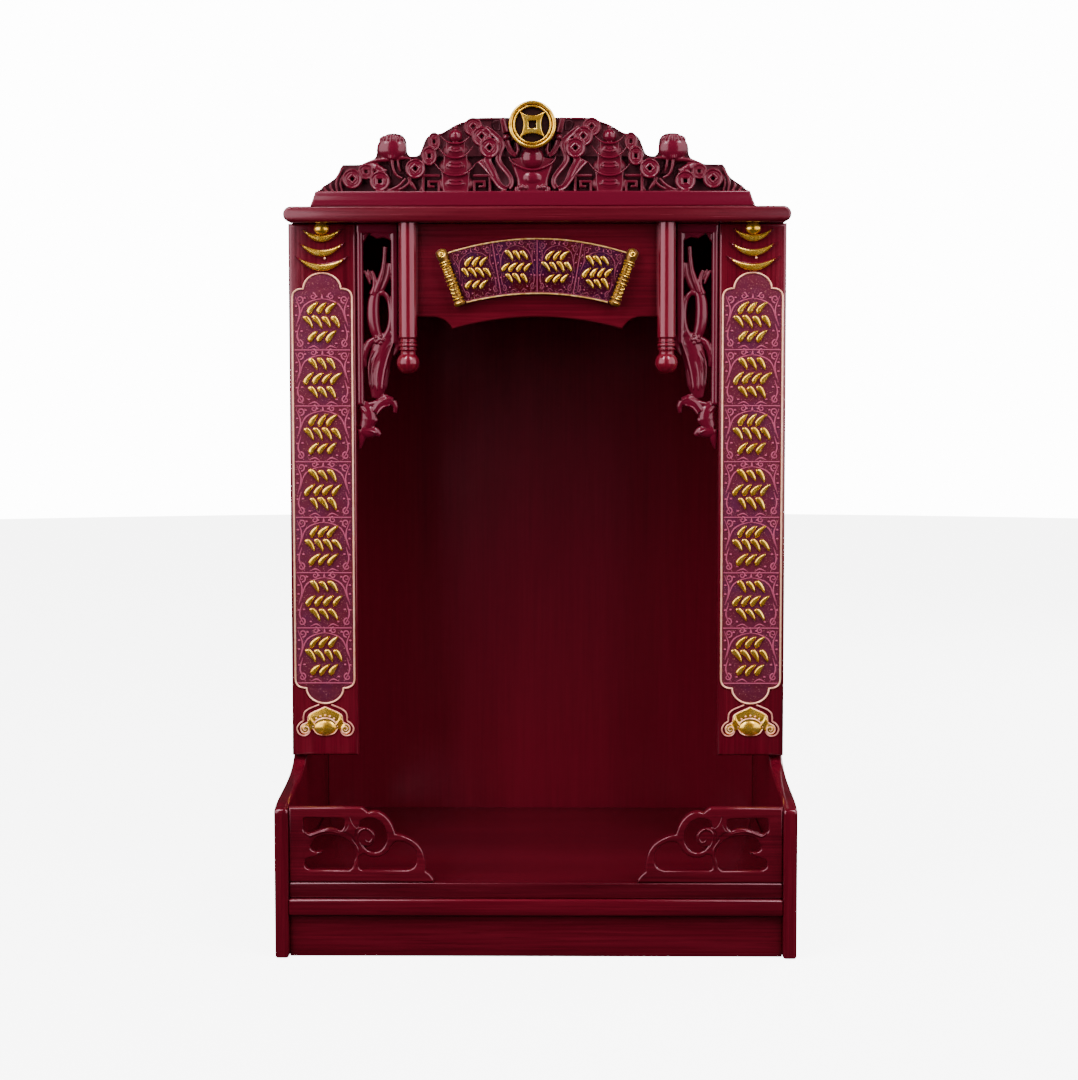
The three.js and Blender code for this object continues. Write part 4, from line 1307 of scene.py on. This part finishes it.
# A square key of raised bars, closed at its outer side
def keySquare(x, hand):
    rail, ground = crest["rail"], crest["ground"]
    bars = [
        (-8.8, 13.6, 8.8, 16.2), (6.2 * hand, -1, 8.8 * hand, 15), (-8.8 * hand, -1, -6.4 * hand, 10.4),
        (-7 * hand, 8, 3.4 * hand, 10.4), (1 * hand, 3.4, 3.4 * hand, 9), (-3.4 * hand, 3.4, 2 * hand, 5.6),
    ]
    parts = []
    for x0, z0, x1, z1 in bars:
        low, high = sorted((x0, x1))
        bar = rectangle(x + low, rail + z0, x + high, rail + z1)
        parts.append(slab([bar], ground - 1, ground + 3, 0.5, 2))
    return parts


# A round bud with petals closing over its top and short ribs by its stem
def ribbedKnob(x, z):
    parts = [dome(x, z - 1, 14.4, 12.6, 5, 7.4, 36)]
    for i in range(-3, 4):
        share = i / 3.4
        side = math.sqrt(max(1 - share * share, 0.04))
        crown = z + 12.2 - abs(share) * 1.6
        petal = [(x + share * 12.4, z + 2.6), (x + share * 11.6, z + 7.6), (x + share * 7.4, crown)]
        parts.append(strands([(petal, [0.8, 3.6, 2.4])], 5 + 5.2 * side, 0.9, 3, 6))
        rib = [(x + share * 3, z - 11), (x + share * 8, z - 7.6), (x + share * 11, z - 3)]
        parts.append(strands([(rib, [2.4, 2.8, 0.8])], 5 + 5.4 * side, 0.9, 3, 6))
    return parts


def crestSide():
    stack = crest["stack"]
    parts = ingotStack(stack) + keySquare(stack + 23.6, 1) + keySquare(stack - 25.4, -1)
    for x, z, front, radius, lean, turned in (
        (56.5, 75.2, 8.4, 9, 1, True), (48.5, 66.2, 10, 9.5, 1, True), (41, 55.2, 11.6, 9.7, 1, True),
        (94, 61.4, 8.8, 9, 0.68, False), (98.7, 47.7, 10.2, 9.3, 0.8, False), (112, 35.7, 11.6, 9.6, 1, True),
        (159.4, 33, 8.8, 7.4, 1, False), (172.5, 26.2, 10.2, 9.6, 1, True), (146, 23.9, 11.6, 9.8, 1, False),
    ):
        parts += cash(x, z, front, radius, lean, turned)
    parts += ribbedKnob(134.6, 56)
    # Each leaf or stem has a line, widths, the depth of its middle and its flatness
    leaves = [
        ([(116, 45.6), (126, 46), (138, 44.6), (150, 43.6), (162, 40.4)], [1.6, 4, 4.6, 4.2, 1.4], 8, 1.0),
        ([(155, 41), (150, 37.4), (144, 34.4), (139, 34.6)], [2.6, 8, 7, 1.6], 8, 0.8),
        ([(134.4, 45.6), (133.4, 37), (130.4, 30), (124.6, 26.6)], [3.4, 3, 2.8, 2.4], 9, 1.2),
        ([(129, 45), (128, 38), (126.4, 33)], [2.4, 2.6, 1.4], 8.4, 1.1),
        ([(141, 15.6), (134, 16.4), (127, 20.4), (121.4, 26.6)], [1.6, 3.2, 3.2, 2], 9, 1.1),
        ([(132, 15.4), (125.4, 17), (119.6, 21), (116, 26.6)], [1.4, 2.6, 2.8, 1.6], 8.4, 1.1),
        ([(119.4, 27.4), (115, 20.4), (111.4, 15.6)], [2.6, 4.4, 1.6], 8, 0.9),
        ([(106, 26), (105, 20), (108, 15)], [1.8, 2.8, 1.4], 7.6, 1.0),
        ([(181.4, 37), (185, 30.6), (188, 22), (187, 14)], [1.6, 3, 3, 1.8], 8, 1.1),
        ([(182, 30), (184, 22), (182.4, 14.4)], [1.4, 2.6, 1.8], 7.6, 1.1),
        ([(190.6, 13.4), (193.6, 19), (192.6, 24)], [2.8, 2.8, 1], 7.4, 1.1),
        ([(196, 13.4), (199.6, 17.4), (199.8, 20.4)], [2.8, 2.4, 1], 7.4, 1.1),
        ([(202.6, 13.4), (205, 14.8), (205.4, 16)], [2.2, 1.8, 1], 7.4, 1.1),
        ([(82.4, 71.4), (88.6, 68), (95, 66.6), (99.6, 64.4)], [1.2, 2.2, 2.2, 1.2], 7.4, 1.1),
        ([(30.6, 83), (44, 83), (57, 82.4)], [1.4, 2, 1.2], 7.4, 1.0),
        ([(60.6, 81), (69, 78.4), (76.6, 74.6)], [1.2, 1.8, 1], 7.0, 1.0),
    ]
    for points, widths, centre, flat in leaves:
        parts.append(strands([(points, widths)], centre - 1, flat, 3, 6))
    # The sash from the coins to the loop, and the blade-like end that crosses it
    sash = [
        (45, 74.6), (38, 69.4), (32, 64), (29.4, 60), (29.4, 55.8), (31.8, 50.6), (32.6, 44.6), (29.6, 38.4),
        (24.2, 32), (20.6, 26), (20.4, 20.8), (23, 17.2),
    ]
    tail = [(46.6, 45.4), (43.6, 39.7), (38.6, 32.4), (34.6, 24.7), (30.4, 18.9), (24.6, 16)]
    parts += ribbon(sash, [3.6, 3.8, 4.2, 4.4, 4.6, 4.6, 4.4, 3.8, 3.6, 3.4, 3.6, 3.8], 10)
    parts += ribbon(tail, [14, 9.6, 7.4, 5.4, 4.4, 4], 11)
    parts.append(strands([([(47, 44), (42.6, 36), (38, 28)], [1.2, 1.6, 0.8])], 10.4, 1, 2, 6))
    parts += ribbon([(29, 83.7), (27, 76.7), (25.4, 69.7)], [4, 4.2, 4.4], 9.4)
    parts.append(dome(25, 65.4, 3.8, 3.2, 6.4, 4, 16))
    parts += ribbon([(24.4, 62), (23, 56.8), (20, 51.4), (15.6, 47.8)], [3.8, 4.2, 4, 2.2], 9.4)
    parts.append(strands([([(15.6, 48), (13.6, 54), (15, 60)], [1.8, 3.6, 2.4])], 7.6, 1.1, 3, 6))
    return parts


def crestMiddle():
    half = [(22.4, 47), (20.4, 42.4), (16, 39), (11, 36.6), (5, 34.8)]
    rim = half + [(0, 34.3)] + [(-x, z) for x, z in half[::-1]]
    body = rim[1:-1] + [(-17.6, 33), (-14.8, 25), (-14.4, 13), (14.4, 13), (14.8, 25), (17.6, 33)]
    back = smoothLine([(-21, 45), (0, 47.4), (21, 45)], 6) + [(13.4, 37.4), (0, 34), (-13.4, 37.4)]
    parts = [
        slab([back], 4, 7.6, 0.6, 2),
        slab([body], 4, 10.2, 2.4, 3),
        dome(0, 27, 14, 9, 4, 8, 28),
        strands([(rim, [1.1, 1.9, 2.5, 2.5, 2.5, 1.9, 1.1])], 11, 1.1, 3, 4),
        dome(0, 46, 11, 10.8, 5.6, 7, 32),
    ]
    for side in (-1, 1):
        parts.append(dome(side * 11, 18, 2.6, 2.6, 10.2, 2.6, 14))
        parts.append(dome(side * 6.4, 17.6, 2, 2, 10.4, 2.2, 14))
        parts.append(dome(side * 15.4, 16, 2.2, 3, 8.2, 2.4, 12))
    return parts


# Places where the ground behind the carving is cut deep
crestRecesses = [
    [
        (36, 45), (31, 38), (24.4, 31), (21.4, 25), (22.6, 20), (27, 19.6), (31.4, 24.6), (34.6, 32.6),
        (36.4, 40.6),
    ],
    [(31, 73), (36.4, 73.4), (38.4, 78), (36.4, 81), (31.6, 80.4)],
    [(16.4, 53), (19.4, 54.4), (19.6, 61), (16.6, 62)],
    [(107, 41), (113, 46.4), (124, 45), (125, 38), (120, 30), (121, 38)],
    [(135.6, 27), (136, 36), (140, 41), (150, 40.6), (141, 37)],
    [(104.6, 16), (107.6, 24), (104, 31), (104, 38), (107, 33), (109, 22)],
]


def addCrest():
    edge = edgesOf("crest_panel")
    outline = mirrorLine(crestHalfOutline())
    recesses = []
    for side in (-1, 1):
        for recess in crestRecesses:
            recesses.append([(side * x, z) for x, z in smoothLine(recess + recess[:1], 3)[:-1]])
    rail = mirrorLine([(crest["half"], 0), (210.6, 6), (207.6, crest["rail"])])
    parts = [
        slab([outline] + recesses, 0, crest["ground"], 0.8, 2),
        slab([outline], 0, 1.4, 0.3, 1),
        slab([rail], 0, crest["thick"], 1.6, 3),
    ]
    half = joined(crestSide(), "crest_half")
    parts += [half, copyOf(half, "crest_other_half", True)] + crestMiddle()
    piece = fused(joined(parts, "crest"), crest["voxel"], crest["rounds"], crest["faces"])
    # The crest is painted darker towards its ground, as painted shade in its recesses
    depths = ((edge.back - crest["ground"] + 0.4) * mm, (edge.front + 1.6) * mm)
    finish = carvedRosewood("rosewood_crest", *depths)
    moved(paint(piece, finish), (edge.left + edge.right) / 2 * mm, edge.back * mm, edge.bottom * mm)
    finished(piece, "crest_panel", 60)


addCrest()
print("crest")


# The gilt coin: two rims, and a curved frame round a square hole. Each ring is (radius, width, drop)

coin = {
    "radius": 22.8, "thick": 6, "rim": 6, "floor": 2.2, "corner": 12.9, "waist": 8.3, "hole": 3.7,
    "rings": ((20.9, 3.4, 0.0), (17.4, 1.8, 0.7)),
}


def addCoin():
    edge = edgesOf("crest_coin")
    radius, thick, corner = coin["radius"], coin["thick"], coin["corner"]
    disc = ellipse(0, 0, radius - 0.6, radius - 0.6, steps=64)
    parts = [paint(slab([disc], 0, coin["floor"], 0.5, 2), wellWood)]
    inner = radius - coin["rim"]
    ringOutline = [ellipse(0, 0, radius - 0.4, radius - 0.4, steps=72), ellipse(0, 0, inner, inner, steps=72)]
    # The base ring under the rims is dark gilt, as painted shade in the groove between them
    parts.append(paint(slab(ringOutline, 0.4, thick - 3.2, 0.6, 3), deepGilt))
    for reach, width, drop in coin["rings"]:
        ring = hoop(0, 0, reach, width, thick - width / 2 - drop, sides=(96, 12))
        parts.append(paint(ring, giltGold))
    # A frame of four hollow sides, whose corners meet the rim
    sides = []
    start = (corner, -corner)
    line = [start] + curveTo(start, (coin["waist"] * 2 - corner, 0), (corner, corner), 14)[:-1]
    for quarter in range(4):
        sides += [turned(x, z, quarter * math.pi / 2) for x, z in line]
    hole = coin["hole"]
    square = rectangle(-hole, -hole, hole, hole)
    parts.append(paint(slab([sides, square], coin["floor"] - 0.6, thick - 0.6, 0.9, 3), giltGold))
    place = ((edge.left + edge.right) / 2 * mm, edge.back * mm, (edge.bottom + edge.top) / 2 * mm)
    piece = moved(joined(parts, "coin"), *place)
    finished(piece, "crest_coin", 50)


# The floor of the coin's wells, near black with little shine: a dark ground deepened with painted shade
def wellFinish(name):
    finish = Finish(name)
    cloud = finish.noise(finish.scaled((200, 200, 200)), 1.0, 3, 0.6)
    colour = finish.ramp(cloud, [(0.3, (0.004, 0.0002, 0.0004)), (0.7, (0.014, 0.0012, 0.0010))])
    return finish.surface(Base_Color=colour, Roughness=0.6, Specular_IOR_Level=0.08)


wellWood = wellFinish("coin_well")
addCoin()
print("coin")


# Floor and studio

def addFloor():
    pick(bpy.context.scene.camera)
    bpy.ops.mesh.primitive_circle_add(vertices=96, radius=6, fill_type="NGON", location=(0, 0, -0.0006))
    bpy.ops.object.transform_apply(location=True, rotation=False, scale=False)
    floor = bpy.context.object
    floor.name = "studio_floor"
    # The floor looks pale, but the lacquer neither mirrors it nor takes light from it
    floor.visible_glossy = False
    floor.visible_diffuse = False
    finish = Finish("studio_floor")
    paint(floor, finish.surface(
        Base_Color=(0.8, 0.8, 0.8, 1), Roughness=0.8, Emission_Color=(1, 1, 1, 1),
        Emission_Strength=studio["floorGlow"],
    ))


def addWorld():
    world = bpy.data.worlds.new("studio")
    bpy.context.scene.world = world
    world.use_nodes = True
    tree = world.node_tree
    seen = tree.nodes["Background"]
    seen.inputs["Strength"].default_value = studio["backdrop"]
    lit = tree.nodes.new("ShaderNodeBackground")
    lit.inputs["Strength"].default_value = studio["fill"]
    path = tree.nodes.new("ShaderNodeLightPath")
    mix = tree.nodes.new("ShaderNodeMixShader")
    for light in (seen, lit):
        light.inputs["Color"].default_value = (1, 1, 1, 1)
    tree.links.new(path.outputs["Is Camera Ray"], mix.inputs[0])
    tree.links.new(lit.outputs[0], mix.inputs[1])
    tree.links.new(seen.outputs[0], mix.inputs[2])
    tree.links.new(mix.outputs[0], tree.nodes["World Output"].inputs["Surface"])


addFloor()
addWorld()
